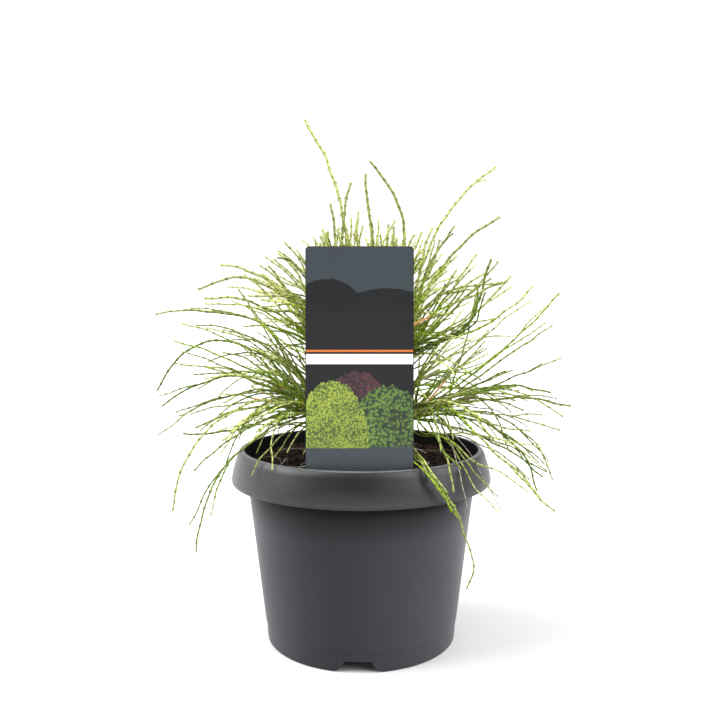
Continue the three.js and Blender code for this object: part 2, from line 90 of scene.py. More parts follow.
# Soil
SOIL_EDGE_HEIGHT = 148.5
SOIL_MOUND_HEIGHT = 152
SOIL_FLAT_RADIUS = 16

# Label
LABEL_WIDTH = 80
LABEL_TOP = 323
LABEL_SHOULDER = 154
LABEL_STAKE_WIDTH = 26
LABEL_STAKE_TIP = 118
LABEL_THICKNESS = 0.8
LABEL_CORNER = 3
LABEL_X = -1.3
LABEL_Y = -84.5
LABEL_LEAN = 4.7

# Trunk, boughs and stems
PIECE_CLEARANCE = 0.3
TRUNK_FOOT = SOIL_MOUND_HEIGHT + PIECE_CLEARANCE
TRUNK_TOP = 248
TRUNK_FOOT_RADIUS = 5.2
TRUNK_TOP_RADIUS = 2.4
TRUNK_FLARE = 3.4
TRUNK_FLARE_HEIGHT = 6
LEAN_X = 6
LEAN_Y = -4
LEAN_HEIGHT = 107
TIERS = {
    "low": {
        "count": 8, "first_azimuth": 0, "attach_low": 158, "attach_high": 184, "pitch": 24, "bend": 8,
        "bough": 36, "stem": 64, "shoots": 13, "fan": 52, "shoot_pitch": 24, "pitch_spread": 50,
        "shoot_bend": 45, "bend_spread": 50, "shoot_length": 125,
    },
    "mid": {
        "count": 6, "first_azimuth": 0, "attach_low": 192, "attach_high": 218, "pitch": 50, "bend": 8,
        "bough": 30, "stem": 56, "shoots": 14, "fan": 62, "shoot_pitch": 52, "pitch_spread": 42,
        "shoot_bend": 35, "bend_spread": 45, "shoot_length": 132,
    },
    "top": {
        "count": 3, "first_azimuth": 60, "attach_low": 230, "attach_high": 240, "pitch": 56, "bend": -26,
        "bough": 22, "stem": 50, "shoots": 13, "fan": 85, "shoot_pitch": 66, "pitch_spread": 18,
        "shoot_bend": -10, "bend_spread": 25, "shoot_length": 105,
    },
}
ATTACH_TURN = 0.618034
ATTACH_PHASE = 0.35
PATH_STEPS = 24
BEND_POWER = 1.3
STEEPEST_FALL = -86
BOUGH_ROWS = 5
STEM_ROWS = 6
STEM_SHORTENING = 4
BOUGH_ROOT_RADIUS = 2.1
STEM_ROOT_RADIUS = 1.7
STEM_TIP_RADIUS = 1.2
STEM_KNOBS = (0.93, 1.12)
STEM_INTO_BOUGH = 0.25
STEM_BROWN_SHARE = 0.35
SHOOT_RADIUS = 1.0

# Long shoots that make the crown's outline: mass, place along its stem, azimuth, pitch, bend and length
LEADERS = [
    ("top_0", 0.15, 6, 57, -83, 152),
    ("top_1", 0.3, 165, 95, 41, 165),
    ("top_1", 0.75, 150, 94, -9, 85),
    ("top_1", 0.5, 200, 83, 0, 80),
    ("top_2", 0.6, 200, 78, -6, 100),
    ("mid_0", 0.4, 3, 91, 59, 173),
    ("mid_0", 0.48, 20, 92, 25, 100),
    ("mid_0", 0.5, 350, 92, 46, 106),
    ("mid_0", 0.1, 354, 76, 46, 151),
    ("mid_0", 0.51, 345, 22, -34, 98),
    ("mid_0", 0.54, 10, 6, -46, 114),
    ("mid_3", 0.1, 176, 39, 52, 168),
    ("mid_3", 0.68, 165, 92, 55, 82),
    ("mid_3", 0.67, 171, 69, 105, 124),
    ("mid_3", 0.75, 190, 72, 74, 101),
    ("mid_3", 0.72, 200, 44, 51, 96),
    ("low_0", 0.11, 352, 37, -12, 155),
    ("low_0", 0.46, 5, 40, 8, 117),
    ("low_0", 0.44, 351, 16, 31, 113),
    ("low_0", 0.16, 7, 32, 54, 122),
    ("low_0", 0.11, 350, 12, 95, 137),
    ("low_0", 0.1, 12, -9, 36, 138),
    ("low_4", 0.1, 175, 58, 61, 131),
    ("low_4", 0.47, 178, 63, 146, 152),
    ("low_4", 0.1, 182, 34, 81, 140),
    ("low_4", 0.22, 172, -30, -33, 114),
    ("low_5", 0.3, 229, 31, 118, 178),
    ("low_5", 0.43, 217, -7, 86, 148),
    ("low_7", 0.83, 311, -30, 3, 126),
    ("low_7", 0.1, 308, -4, 98, 160),
]

# The seeded rule for shoots and forks, the same as the solids'
FIRST_SEED = 101
LEADER_ROWS = 5
SHOOT_ROWS = 4
FORK_ROWS = 2
PLACES_PER_ROW = 5
LEAST_ROOT = 5
TRIES_PER_SHOOT = 30
SHORTENED = (1, 0.75, 0.5)
SWING_BACK = 0.5
LEAST_SHOOTS = 5
STEEPER_AT_FOOT = 0.3
STEEPER_BY_CHANCE = 0.9
SIDE_STIFFNESS = 0.5
SHORTEST_SHARE = 0.35
FORK_SHARE = 0.55
FORK_FROM = 0.3
FORK_TO = 0.65
FORK_ANGLE = 14
FORK_BEND = 20
FORK_SHORTEST = 0.6
FORK_LONGEST = 0.95
REACH_X = 168
REACH_Y = 144
REACH_HEIGHT = 360
REACH_FALL = 0.42
REACH_LOW = 125
SHOOT_CLEARANCE = 0.25
LIMB_CLEARANCE = 0.75
SHOOT_SPACING = 2.4
LOW_ROOF_SLANT = 1.5
MID_ROOF_SLANT = 2.7

# Inner shoots, which like the twigs are only in the finished look: how many, and their ranges. Fewer grow
# at the right than at the left, and none hang low in front.
INNER_SHOOTS = {"low": 20, "mid": 11, "top": 18}
INNER_SIDE_SHARE = {"low": 0.6, "mid": 0.5, "top": 0.2}
INNER_PITCHES = {"low": (10, 95), "mid": (38, 102), "top": (60, 115)}
INNER_BOUGH_SHARES = (0.3, 1)
INNER_STEM_SHARES = (0, 0.6)
INNER_FANS = (-1.3, 1.3)
INNER_BENDS = (-1, 1.2)
INNER_LENGTHS = (0.4, 1.1)
INNER_SPACING = 2.4
FRONT_SINE = 0.35
FRONT_LOW = 128
FRONT_LOW_SLOPE = 0.32

# Twigs of level 1, on shoots, and of level 2, on forks and twigs: the way between them, the longest and
# the shortest
SIDE_TWIGS = {1: (110, 85, 14), 2: (100, 40, 8)}
TWIG_FIRST = (0.5, 1.1)
TWIG_NEXT = (0.7, 1.3)
TWIG_ANGLES = (12, 30)
TWIG_SHARES = (0.5, 0.95)
TWIG_BENDS = (0, 34)
TWIG_ROLL = 0.6
TWIG_SPACING = 2.0

# Threads: a radius and a number of sides for each level, and what changes their radius and their curve
THREAD_RADII = (0.92, 0.82, 0.74)
THREAD_SIDES = (6, 5, 4)
THREAD_SPREAD = (0.88, 1.08)
TIER_THICKNESS = {"low": 0.88, "mid": 0.98, "top": 1.12}
LEADER_THICKENING = 1.2
DRY_THINNING = 0.72
WAVER = 0.5
WAVER_FADING = 25
GROWN_EASING = 16
LAID_EASING = 3

# The bare foot of each shoot, brown and long on a few of them, and its radius from root to end
WOODY_SHARE = 0.04
WOODY_LENGTHS = (18, 50)
BARE_LENGTHS = (1.5, 5)
LONGEST_BARE_SHARE = 0.45
BARE_TAPER = (1.35, 0.95)
BARE_OVERLAP = 3

# Tints of the thread shoots: fresh, green and dark ones, then dry and vivid ones
TINTS = 5
DRY = 3
VIVID = 4
LIVE_TINTS = (0, 1, 2, VIVID)
FRESH_END_SHARE = 0.5
TINT_KEPT_SHARE = 0.75

# How often each live tint falls on the leaders above the low tier and on a tier's other shoots. Low shoots
# that sink, but for the first few, have weights of their own, in which the dry tint comes last.
TINT_WEIGHTS = {"leader": (6, 5, 0, 0), "low": (0, 6, 5, 2), "mid": (5, 4, 1, 1), "top": (7, 3, 0, 1)}
SINKING_TINT_WEIGHTS = (1, 4, 6, 1, 1)
SINKING_FROM = 4

# The least and the most of a fresh or green shoot that is vivid from its root on
DEEP_SHARES = {"leader": (0, 0.35), "low": (0.1, 0.5), "mid": (0.3, 0.7), "top": (0.1, 0.45)}

# Shoots laid one by one: mass, place along its stem, tint, thickness, woody length and the places they pass
LAID_SHOOTS = [
    ("low_0", 0.3, 1, 0.85, 0, [(46, -42, 178), (89, -60, 180), (115, -62, 172), (139, -62, 155)]),
    ("low_0", 0.1, 1, 0.8, 0, [(55, -50, 190), (81, -62, 181), (110, -65, 177), (136, -66, 171)]),
    ("low_7", 0.3, 1, 0.85, 0, [
        (48, -52, 183), (66, -72, 177), (83, -82, 164), (101, -84, 156), (115, -84, 148), (123, -84, 141)]),
    ("low_7", 0.2, 2, 0.8, 0, [(43, -38, 176), (72, -52, 178), (104, -60, 166), (128, -62, 146)]),
    ("mid_0", 0.3, 2, 1.3, 0, [(78, -24, 262), (86, -30, 282), (90, -31, 296), (96, -32, 315)]),
    ("mid_0", 0.35, 2, 1.05, 0, [(76, -26, 258), (84, -33, 278), (85, -34, 294)]),
    ("mid_0", 0.2, 2, 1.05, 0, [(80, -22, 260), (88, -28, 276), (93, -29, 289)]),
    ("low_5", 0.1, 0, 0.95, 62, [
        (-46, -27, 200), (-69, -26, 201), (-86, -25, 203), (-102, -24, 206), (-118, -23, 208)]),
    ("low_7", 0.05, VIVID, 0.8, 0, [
        (35, -66, 164), (42, -89, 162.5), (49, -99, 154), (60, -99, 140), (70, -96, 126)]),
    ("low_7", 0.1, VIVID, 0.8, 0, [
        (38, -64, 169), (46, -86, 164), (54, -96, 152), (63, -96, 141), (70, -94, 132)]),
    ("low_7", 0.0, VIVID, 0.75, 0, [
        (33, -68, 168), (41, -91, 164), (49, -100, 157), (61, -101, 142), (67, -98, 129)]),
    ("low_7", 0.15, 1, 0.8, 0, [(38, -70, 172), (46, -91, 165), (55, -99, 152), (61, -99, 143)]),
    ("low_7", 0.2, 1, 0.8, 0, [
        (41, -62, 170), (48, -86, 163), (55, -97, 150), (65, -97, 138), (73, -94, 124)]),
    ("low_7", 0.5, 1, 0.82, 0, [(62, -54, 180), (72, -64, 165), (87, -77, 141), (103, -80, 124)]),
    ("low_7", 0.6, DRY, 0.85, 0, [(66, -56, 180), (72, -67, 163), (77, -79, 143), (79, -81, 128)]),
    ("low_7", 0.7, 1, 0.82, 0, [(66, -52, 178), (77, -61, 164), (92, -72, 147), (103, -76, 136)]),
    ("low_0", 0.5, DRY, 0.85, 0, [(70, -30, 180), (84, -46, 164), (97, -57, 143), (107, -58, 122)]),
    ("low_5", 0.5, 0, 0.95, 0, [(-66, -61, 191), (-69, -69, 176), (-67, -75, 166), (-66, -81, 158)]),
    ("low_5", 0.3, 1, 0.95, 0, [(-59, -55, 181), (-70, -62, 169), (-78, -67, 160), (-84, -71, 150)]),
    ("low_5", 0.2, 1, 0.8, 0, [(-51, -50, 186), (-61, -59, 170), (-67, -64, 163)]),
]

# The second leader of one mass, which is laid over the rim: mass, place, tint, thickness and places
LAID_LEADER = ("low_7", 0.1, 1, 0.9, [
    (38, -64, 166), (45, -88, 162.5), (52, -97, 153), (61, -98, 141), (71, -94, 125), (79, -90, 104),
    (83, -88, 88), (82, -87, 76), (79, -86, 67)])

# Camera
CAMERA_PLACE = (-1, -680, 287.6)
CAMERA_TILT = 4.7
CAMERA_LENS = 40.83


def lerp(low, high, share):
    return low + (high - low) * share


class SeededRandom:
    """Random numbers between 0 and 1 from a seed, the same as the solids' own."""

    def __init__(self, seed):
        self.state = seed & 0xFFFFFFFF

    def draw(self):
        self.state = (self.state + 0x6D2B79F5) & 0xFFFFFFFF
        t = self.state
        t = ((t ^ (t >> 15)) * (t | 1)) & 0xFFFFFFFF
        t = (t ^ ((t + (((t ^ (t >> 7)) * (t | 61)) & 0xFFFFFFFF)) & 0xFFFFFFFF)) & 0xFFFFFFFF
        return ((t ^ (t >> 14)) & 0xFFFFFFFF) / 4294967296.0


# The plant's rule


def grown(points):
    """Moves points sideways by the trunk's lean at their height."""
    points = np.asarray(points, float)
    t = np.clip((points[..., 2] - TRUNK_FOOT) / LEAN_HEIGHT, 0, 1)
    share = t - np.sin(2 * math.pi * t) / (2 * math.pi)
    return points + np.stack([LEAN_X * share, LEAN_Y * share, 0 * share], axis=-1)


def trunk_radius(z):
    t = (z - TRUNK_FOOT) / (TRUNK_TOP - TRUNK_FOOT)
    flare = TRUNK_FLARE * np.exp(-(z - TRUNK_FOOT) / TRUNK_FLARE_HEIGHT)
    return TRUNK_FOOT_RADIUS + (TRUNK_TOP_RADIUS - TRUNK_FOOT_RADIUS) * t + flare


def shoot(start, azimuth, pitch, bend, length, steps, swing=0.0):
    """A path that starts at an azimuth and a pitch, and bends down and swings aside by its end."""
    points = [np.array(start, float)]
    stride = length / steps
    for i in range(steps):
        t = (i + 0.5) / steps
        turn = math.radians(azimuth + swing * t)
        rise = math.radians(max(pitch - bend * t ** BEND_POWER, STEEPEST_FALL))
        level = stride * math.cos(rise)
        step = (level * math.cos(turn), level * math.sin(turn), stride * math.sin(rise))
        points.append(points[-1] + step)
    return np.array(points)


def along(points, shares):
    """Places at shares of a path's rows."""
    place = np.asarray(shares, float) * (len(points) - 1)
    low = np.minimum(np.floor(place).astype(int), len(points) - 2)
    part = (place - low)[..., None]
    return points[low] + (points[low + 1] - points[low]) * part


def pointing(azimuth, pitch):
    """The direction of an azimuth and a pitch, one long."""
    turn, rise = math.radians(azimuth), math.radians(pitch)
    return math.cos(rise) * math.cos(turn), math.cos(rise) * math.sin(turn), math.sin(rise)


def path_length(points):
    return float(np.linalg.norm(np.diff(points, axis=0), axis=1).sum())


def lay_out_masses():
    """Each mass's bough and stem, and the sector of the crown that is its own."""
    masses = []
    for tier_name, tier in TIERS.items():
        for k in range(tier["count"]):
            azimuth = tier["first_azimuth"] + 360 / tier["count"] * k
            attach = lerp(tier["attach_low"], tier["attach_high"], (k * ATTACH_TURN + ATTACH_PHASE) % 1)
            whole = tier["bough"] + PIECE_CLEARANCE + tier["stem"]
            path = shoot((0, 0, attach), azimuth, tier["pitch"], tier["bend"], whole, PATH_STEPS)
            end = whole
            clear = STEM_ROOT_RADIUS + SHOOT_CLEARANCE
            while not is_clear_of_pot(grown(along(path, [end / whole])), clear)[0]:
                end -= STEM_SHORTENING
            stem_from = (tier["bough"] + PIECE_CLEARANCE) / whole
            masses.append({
                "name": f"{tier_name}_{k}",
                "tier_name": tier_name,
                "tier": tier,
                "azimuth": azimuth,
                "half_width": 180 / tier["count"],
                "bough": along(path, np.linspace(0, tier["bough"] / whole, BOUGH_ROWS + 1)),
                "stem": along(path, np.linspace(stem_from, end / whole, STEM_ROWS + 1)),
            })
    return masses


def low_roof(distance, turn):
    """The height of the surface between the low masses' spaces and the mid ones'."""
    c = np.cos(turn)
    return 187 + (0.8 - 0.25 * c) * distance + (0.0022 * c - 0.0013) * distance ** 2


def mid_roof(distance):
    """The height of the surface between the mid masses' spaces and the top ones'."""
    return 215 + 2.5 * distance


def is_in_space(points, clear, mass):
    """Whether points are in a mass's own sector and between its roofs."""
    distance = np.hypot(points[:, 0], points[:, 1])
    turn = np.arctan2(points[:, 1], points[:, 0])
    aside = np.abs(np.degrees(turn) - mass["azimuth"]) % 360
    aside = np.minimum(aside, 360 - aside)
    within = aside < mass["half_width"]
    edge = np.radians(np.minimum(mass["half_width"] - aside, 90))
    within &= distance * np.sin(edge) >= clear
    z = points[:, 2]
    low = low_roof(distance, turn)
    if mass["tier_name"] == "low":
        return within & (z < low - clear * LOW_ROOF_SLANT)
    mid = mid_roof(distance)
    if mass["tier_name"] == "top":
        return within & (z > mid + clear * MID_ROOF_SLANT)
    return within & (z > low + clear * LOW_ROOF_SLANT) & (z < mid - clear * MID_ROOF_SLANT)


def is_in_reach(points):
    """Whether points are where the seeded shoots may reach."""
    distance = np.hypot(points[:, 0], points[:, 1])
    across = np.hypot(points[:, 0] / REACH_X, points[:, 1] / REACH_Y)
    z = points[:, 2]
    return (across < 1) & (z < REACH_HEIGHT - REACH_FALL * distance) & (z > REACH_LOW)


def soil_height(radius):
    edge = COLLAR_RADIUS - PIECE_CLEARANCE
    t = np.clip((radius - SOIL_FLAT_RADIUS) / (edge - SOIL_FLAT_RADIUS), 0, 1)
    return SOIL_MOUND_HEIGHT + (SOIL_EDGE_HEIGHT - SOIL_MOUND_HEIGHT) * t


def behind_label(points):
    """How far points are behind the middle of the leaning label."""
    lean = math.tan(math.radians(LABEL_LEAN))
    return points[:, 1] - (LABEL_Y + (points[:, 2] - SOIL_MOUND_HEIGHT) * lean)


def is_clear_of_pot(points, clear):
    radius = np.hypot(points[:, 0], points[:, 1])
    low = points[:, 2] < POT_HEIGHT + clear
    inside = radius < COLLAR_RADIUS
    in_wall = inside & (radius > COLLAR_RADIUS - clear)
    in_soil = inside & (points[:, 2] < soil_height(radius) + clear)
    in_rim = ~inside & (radius < RIM_RADIUS + clear)
    past_label = behind_label(points) > LABEL_THICKNESS / 2 + clear
    past_label |= np.abs(points[:, 0] - LABEL_X) > LABEL_WIDTH / 2 + clear
    past_label |= points[:, 2] > LABEL_TOP + clear
    return ~(low & (in_wall | in_soil | in_rim)) & past_label


def distances(points, starts, ends):
    """The distance from each point to each straight line between starts and ends."""
    line = ends - starts
    from_start = points[:, None, :] - starts[None]
    t = np.clip((from_start * line).sum(-1) / (line * line).sum(-1), 0, 1)
    return np.linalg.norm(from_start - t[..., None] * line, axis=-1)


def is_clear_of_limbs(points, clear, limbs):
    beside = np.clip(points[:, 2], TRUNK_FOOT, TRUNK_TOP)
    near_trunk = np.hypot(points[:, 0], points[:, 1]) < trunk_radius(beside) + clear
    near_trunk &= points[:, 2] < TRUNK_TOP + clear
    return ~near_trunk & (distances(points, *limbs).min(axis=1) > BOUGH_ROOT_RADIUS + clear)


class Neighbours:
    """The straight lines of the shoots kept so far, to keep new ones apart from."""

    def __init__(self):
        self.starts = np.zeros((0, 3))
        self.ends = np.zeros((0, 3))
        self.owners = np.zeros(0, int)
        self.count = 0

    def add(self, path):
        self.starts = np.vstack([self.starts, path[:-1]])
        self.ends = np.vstack([self.ends, path[1:]])
        self.owners = np.append(self.owners, np.full(len(path) - 1, self.count))
        self.count += 1

    def are_near(self, points, spacing, leaving_out=()):
        keep = ~np.isin(self.owners, leaving_out)
        if not keep.any():
            return False
        return bool((distances(points, self.starts[keep], self.ends[keep]) < spacing).any())


def places_along(path):
    """The places of a path that are tested."""
    last = PLACES_PER_ROW * (len(path) - 1)
    return along(path, np.arange(last + 1) / last)


def is_free(path, mass, limbs, neighbours, spacing, leaving_out=()):
    """Whether a path is clear. A spacing of None is a leader's, which passes other shoots freely."""
    clear = SHOOT_RADIUS + SHOOT_CLEARANCE
    points = places_along(path)
    if not is_in_space(points, clear, mass).all() or not is_clear_of_pot(grown(points), clear).all():
        return False
    if not is_clear_of_limbs(points[1:], SHOOT_RADIUS + LIMB_CLEARANCE, limbs).all():
        return False
    if spacing is None:
        return True
    if not is_in_reach(points).all():
        return False
    return not neighbours.are_near(points[PLACES_PER_ROW:], spacing, leaving_out)


def direction_at(path, share):
    """The azimuth and the pitch of a path at a share of it."""
    step = 0.02
    ahead = along(path, min(share + step, 1)) - along(path, max(share - step, 0))
    azimuth = math.degrees(math.atan2(ahead[1], ahead[0]))
    return azimuth, math.degrees(math.atan2(ahead[2], math.hypot(ahead[0], ahead[1])))


def shortened(mass, start, aside, pitch, bend, length):
    """A mass's shoot at its full length, then at shorter ones with less of its bend and swing."""
    return [
        shoot(start, mass["azimuth"] + aside, pitch, bend * part, length * part, SHOOT_ROWS,
              -SWING_BACK * aside * part)
        for part in SHORTENED]


def seeded_shoot(draws, mass, index, count):
    tier = mass["tier"]
    draw = [draws.draw() for _ in range(5)]
    share = lerp(LEAST_ROOT / tier["stem"], 1, (index + draw[0]) / count)
    aside = tier["fan"] * (2 * draw[1] - 1)
    stiffness = 1 - SIDE_STIFFNESS * math.cos(math.radians(mass["azimuth"]))
    steepness = STEEPER_AT_FOOT * (1 - 2 * share) + STEEPER_BY_CHANCE * (2 * draw[2] - 1)
    pitch = tier["shoot_pitch"] + tier["pitch_spread"] * steepness
    bend = tier["shoot_bend"] * stiffness + tier["bend_spread"] * (2 * draw[3] - 1)
    length = tier["shoot_length"] * lerp(SHORTEST_SHARE, 1, math.sqrt(draw[4]))
    return shortened(mass, along(mass["stem"], share), aside, pitch, bend, length)


def seeded_fork(draws, parent):
    """The place of a fork along its parent, and the fork."""
    draw = [draws.draw() for _ in range(4)]
    share = lerp(FORK_FROM, FORK_TO, draw[0])
    azimuth, pitch = direction_at(parent, share)
    turn = (-1 if draw[1] < 0.5 else 1) * FORK_ANGLE * (1 + draw[2])
    length = path_length(parent) * (1 - share) * lerp(FORK_SHORTEST, FORK_LONGEST, draw[3])
    pitch = pitch + FORK_ANGLE * (draw[3] - 0.5)
    return share, shoot(along(parent, share), azimuth + turn, pitch, FORK_BEND, length, FORK_ROWS)


def keep_shoot(shoots, neighbours, path, level=0, parent=None, share=0.0):
    """Adds a path to a mass's shoots, with its level, its parent's number and its place on the parent."""
    shoots.append({"path": path, "level": level, "parent": parent, "share": share})
    neighbours.add(path)


def shoots_of(mass, limbs, seed):
    """The shoots and forks that the solids have, in the same order of draws."""
    draws = SeededRandom(seed)
    neighbours = Neighbours()
    shoots = []

    def keep(choices, spacing):
        path = next((c for c in choices if is_free(c, mass, limbs, neighbours, spacing)), None)
        share, fork = seeded_fork(draws, choices[0] if path is None else path)
        wants_fork = draws.draw() < FORK_SHARE
        if path is None:
            return False
        parent = len(shoots)
        keep_shoot(shoots, neighbours, path)
        if wants_fork and is_free(fork, mass, limbs, neighbours, SHOOT_SPACING, (parent,)):
            keep_shoot(shoots, neighbours, fork, 1, parent, share)
        return True

    leaders = [leader for leader in LEADERS if leader[0] == mass["name"]]
    for _, share, azimuth, pitch, bend, length in leaders:
        start = along(mass["stem"], share)
        keep([shoot(start, azimuth, pitch, bend, length, LEADER_ROWS)], None)
    count = mass["tier"]["shoots"]
    for i in range(max(count - len(leaders), LEAST_SHOOTS)):
        for _ in range(TRIES_PER_SHOOT):
            if keep(seeded_shoot(draws, mass, i, count), SHOOT_SPACING):
                break
    return shoots, neighbours


# Finer twigs


def any_direction_off(direction, angle, chance):
    """A direction that leaves another one at an angle, turned about it by chance."""
    level = np.cross(direction, (0.0, 0.0, 1.0))
    level /= max(np.linalg.norm(level), 1e-6)
    up = np.cross(level, direction)
    turn = chance.uniform(-TWIG_ROLL, TWIG_ROLL) + (0 if chance.random() < 0.5 else math.pi)
    aside = level * math.cos(turn) + up * math.sin(turn)
    tilted = direction * math.cos(math.radians(angle)) + aside * math.sin(math.radians(angle))
    azimuth = math.degrees(math.atan2(tilted[1], tilted[0]))
    return azimuth, math.degrees(math.asin(np.clip(tilted[2], -1, 1)))


def is_free_inner(path, limbs, neighbours):
    """Whether a finer shoot is clear of the pot, the label, the limbs and its mass's other shoots."""
    points = places_along(path)
    clear = THREAD_RADII[0] + SHOOT_CLEARANCE
    distance = np.hypot(points[:, 0], points[:, 1])
    in_front = points[:, 1] < -FRONT_SINE * distance
    low = points[:, 2] < FRONT_LOW + FRONT_LOW_SLOPE * distance
    return bool(
        is_in_reach(points).all()
        and not (in_front & low).any()
        and is_clear_of_pot(grown(points), clear).all()
        and is_clear_of_limbs(points[2:], clear, limbs).all()
        and not neighbours.are_near(points[PLACES_PER_ROW:], INNER_SPACING))


def add_inner_shoots(mass, limbs, shoots, neighbours, chance):
    """More shoots by the same rule, from the bough on and in a wider fan, so that they cross."""
    tier, tier_name = mass["tier"], mass["tier_name"]
    fewer_at_right = INNER_SIDE_SHARE[tier_name] * math.cos(math.radians(mass["azimuth"]))
    for _ in range(round(INNER_SHOOTS[tier_name] * (1 - fewer_at_right))):
        for _ in range(TRIES_PER_SHOOT):
            on_bough = chance.random() < 0.5
            share = chance.uniform(*(INNER_BOUGH_SHARES if on_bough else INNER_STEM_SHARES))
            start = along(mass["bough" if on_bough else "stem"], share)
            aside = tier["fan"] * chance.uniform(*INNER_FANS)
            pitch = chance.uniform(*INNER_PITCHES[tier_name])
            bend = tier["shoot_bend"] + tier["bend_spread"] * chance.uniform(*INNER_BENDS)
            length = tier["shoot_length"] * chance.uniform(*INNER_LENGTHS)
            choices = shortened(mass, start, aside, pitch, bend, length)
            path = next((c for c in choices if is_free_inner(c, limbs, neighbours)), None)
            if path is not None:
                keep_shoot(shoots, neighbours, path)
                break


def add_laid_shoots(mass, shoots):
    """Adds the shoots that are listed, and lays one leader over the rim."""
    for name, share, tint, thickness, woody, places in LAID_SHOOTS:
        if name == mass["name"]:
            shoots.append({
                "path": np.vstack([along(mass["stem"], share), places]), "level": 0, "parent": None,
                "share": 0.0, "tint": tint, "thickness": thickness, "woody": woody})
    name, share, tint, thickness, places = LAID_LEADER
    if name == mass["name"]:
        path = np.vstack([along(mass["stem"], share), places])
        second_leader = [one for one in shoots if one["level"] == 0][1]
        second_leader.update(path=path, tint=tint, thickness=thickness)


def add_side_twigs(mass, limbs, shoots, neighbours, level, chance):
    """Twigs off the grown shoots of the level before, no longer than the rest of each and in the box."""
    every, longest, shortest = SIDE_TWIGS[level]
    clear = THREAD_RADII[level] + SHOOT_CLEARANCE
    low, high = (np.array(corner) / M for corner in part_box(f"foliage_{mass['name']}"))
    bears_twigs = [i for i, one in enumerate(shoots) if one["level"] == level - 1 and "tint" not in one]
    for parent in bears_twigs:
        path = shoots[parent]["path"]
        length = path_length(path)
        at = chance.uniform(*TWIG_FIRST) * every
        while at < length - shortest:
            share = at / length
            at += chance.uniform(*TWIG_NEXT) * every
            direction = np.array(pointing(*direction_at(path, share)))
            azimuth, pitch = any_direction_off(direction, chance.uniform(*TWIG_ANGLES), chance)
            part = (1 - share) * length * chance.uniform(*TWIG_SHARES)
            part = max(shortest, min(part, longest))
            bend = chance.uniform(*TWIG_BENDS)
            twig = shoot(along(path, share), azimuth, pitch, bend, part, FORK_ROWS)
            body = grown(twig)
            in_box = (body >= low).all() and (body <= high).all()
            if in_box and is_free_twig(twig, clear, mass, limbs, neighbours, parent):
                keep_shoot(shoots, neighbours, twig, level, parent, share)


def is_free_twig(twig, clear, mass, limbs, neighbours, parent):
    """Whether a twig is in its mass's space and clear of all but its parent."""
    points = places_along(twig)
    return bool(
        is_in_space(points, clear, mass).all()
        and is_clear_of_pot(grown(points), clear).all()
        and is_clear_of_limbs(points, clear, limbs).all()
        and not neighbours.are_near(points[PLACES_PER_ROW:], TWIG_SPACING, (parent,)))


# Meshes from arrays


class Parts:
    """Vertices and faces of many small closed shapes that are joined into one piece."""

    def __init__(self):
        self.points = []
        self.quads = []
        self.triangles = []
        self.quad_looks = []
        self.triangle_looks = []
        self.count = 0

    def add(self, points, quads, quad_looks, triangles, triangle_looks):
        self.points.append(points)
        self.quads.append(np.asarray(quads, int).reshape(-1, 4) + self.count)
        self.quad_looks.append(np.asarray(quad_looks, int))
        self.triangles.append(np.asarray(triangles, int).reshape(-1, 3) + self.count)
        self.triangle_looks.append(np.asarray(triangle_looks, int))
        self.count += len(points)

    def add_triangles(self, points, triangles, looks):
        self.add(points, np.zeros((0, 4)), np.zeros(0), triangles, looks)

    def piece(self, name, materials, smooth=True):
        points = np.vstack(self.points) * M
        quads = np.vstack(self.quads)
        triangles = np.vstack(self.triangles)
        mesh = bpy.data.meshes.new(name)
        mesh.vertices.add(len(points))
        mesh.vertices.foreach_set("co", points.ravel())
        corners = np.concatenate([quads.ravel(), triangles.ravel()])
        mesh.loops.add(len(corners))
        mesh.loops.foreach_set("vertex_index", corners)
        starts = np.concatenate([
            np.arange(len(quads)) * 4, len(quads) * 4 + np.arange(len(triangles)) * 3])
        mesh.polygons.add(len(starts))
        mesh.polygons.foreach_set("loop_start", starts)
        looks = np.concatenate(self.quad_looks + self.triangle_looks)
        mesh.polygons.foreach_set("material_index", looks)
        mesh.polygons.foreach_set("use_smooth", np.full(len(starts), smooth))
        mesh.update(calc_edges=True)
        mesh.validate()
        for material in materials:
            mesh.materials.append(material)
        return new_object(name, mesh)


def new_object(name, data):
    """An object in the scene for a mesh, a curve, a light or a camera."""
    made = bpy.data.objects.new(name, data)
    bpy.context.scene.collection.objects.link(made)
    return made


def curve_through(path, per_row=8):
    """Points on a smooth curve through a path's points."""
    before = 2 * path[0] - path[1]
    after = 2 * path[-1] - path[-2]
    p = np.vstack([before, path, after])
    t = (np.arange(per_row) / per_row)[:, None]
    rows = []
    for i in range(len(path) - 1):
        a, b, c, d = p[i:i + 4]
        rows.append(0.5 * (2 * b + (c - a) * t + (2 * a - 5 * b + 4 * c - d) * t ** 2
                           + (3 * b - a - 3 * c + d) * t ** 3))
    return np.vstack(rows + [path[-1:]])


def eased(curve, times=16):
    """A curve with its turns spread out, its ends kept."""
    curve = curve.copy()
    for _ in range(times):
        curve[1:-1] = (curve[:-2] + 2 * curve[1:-1] + curve[2:]) / 4
    return curve


def reached_along(points):
    """The distance along a curve to each of its points."""
    steps = np.linalg.norm(np.diff(points, axis=0), axis=1)
    return np.concatenate([[0], np.cumsum(steps)])


def resample(points, at):
    """Points at distances along a curve."""
    reached = reached_along(points)
    return np.stack([np.interp(at, reached, points[:, k]) for k in range(3)], axis=1)


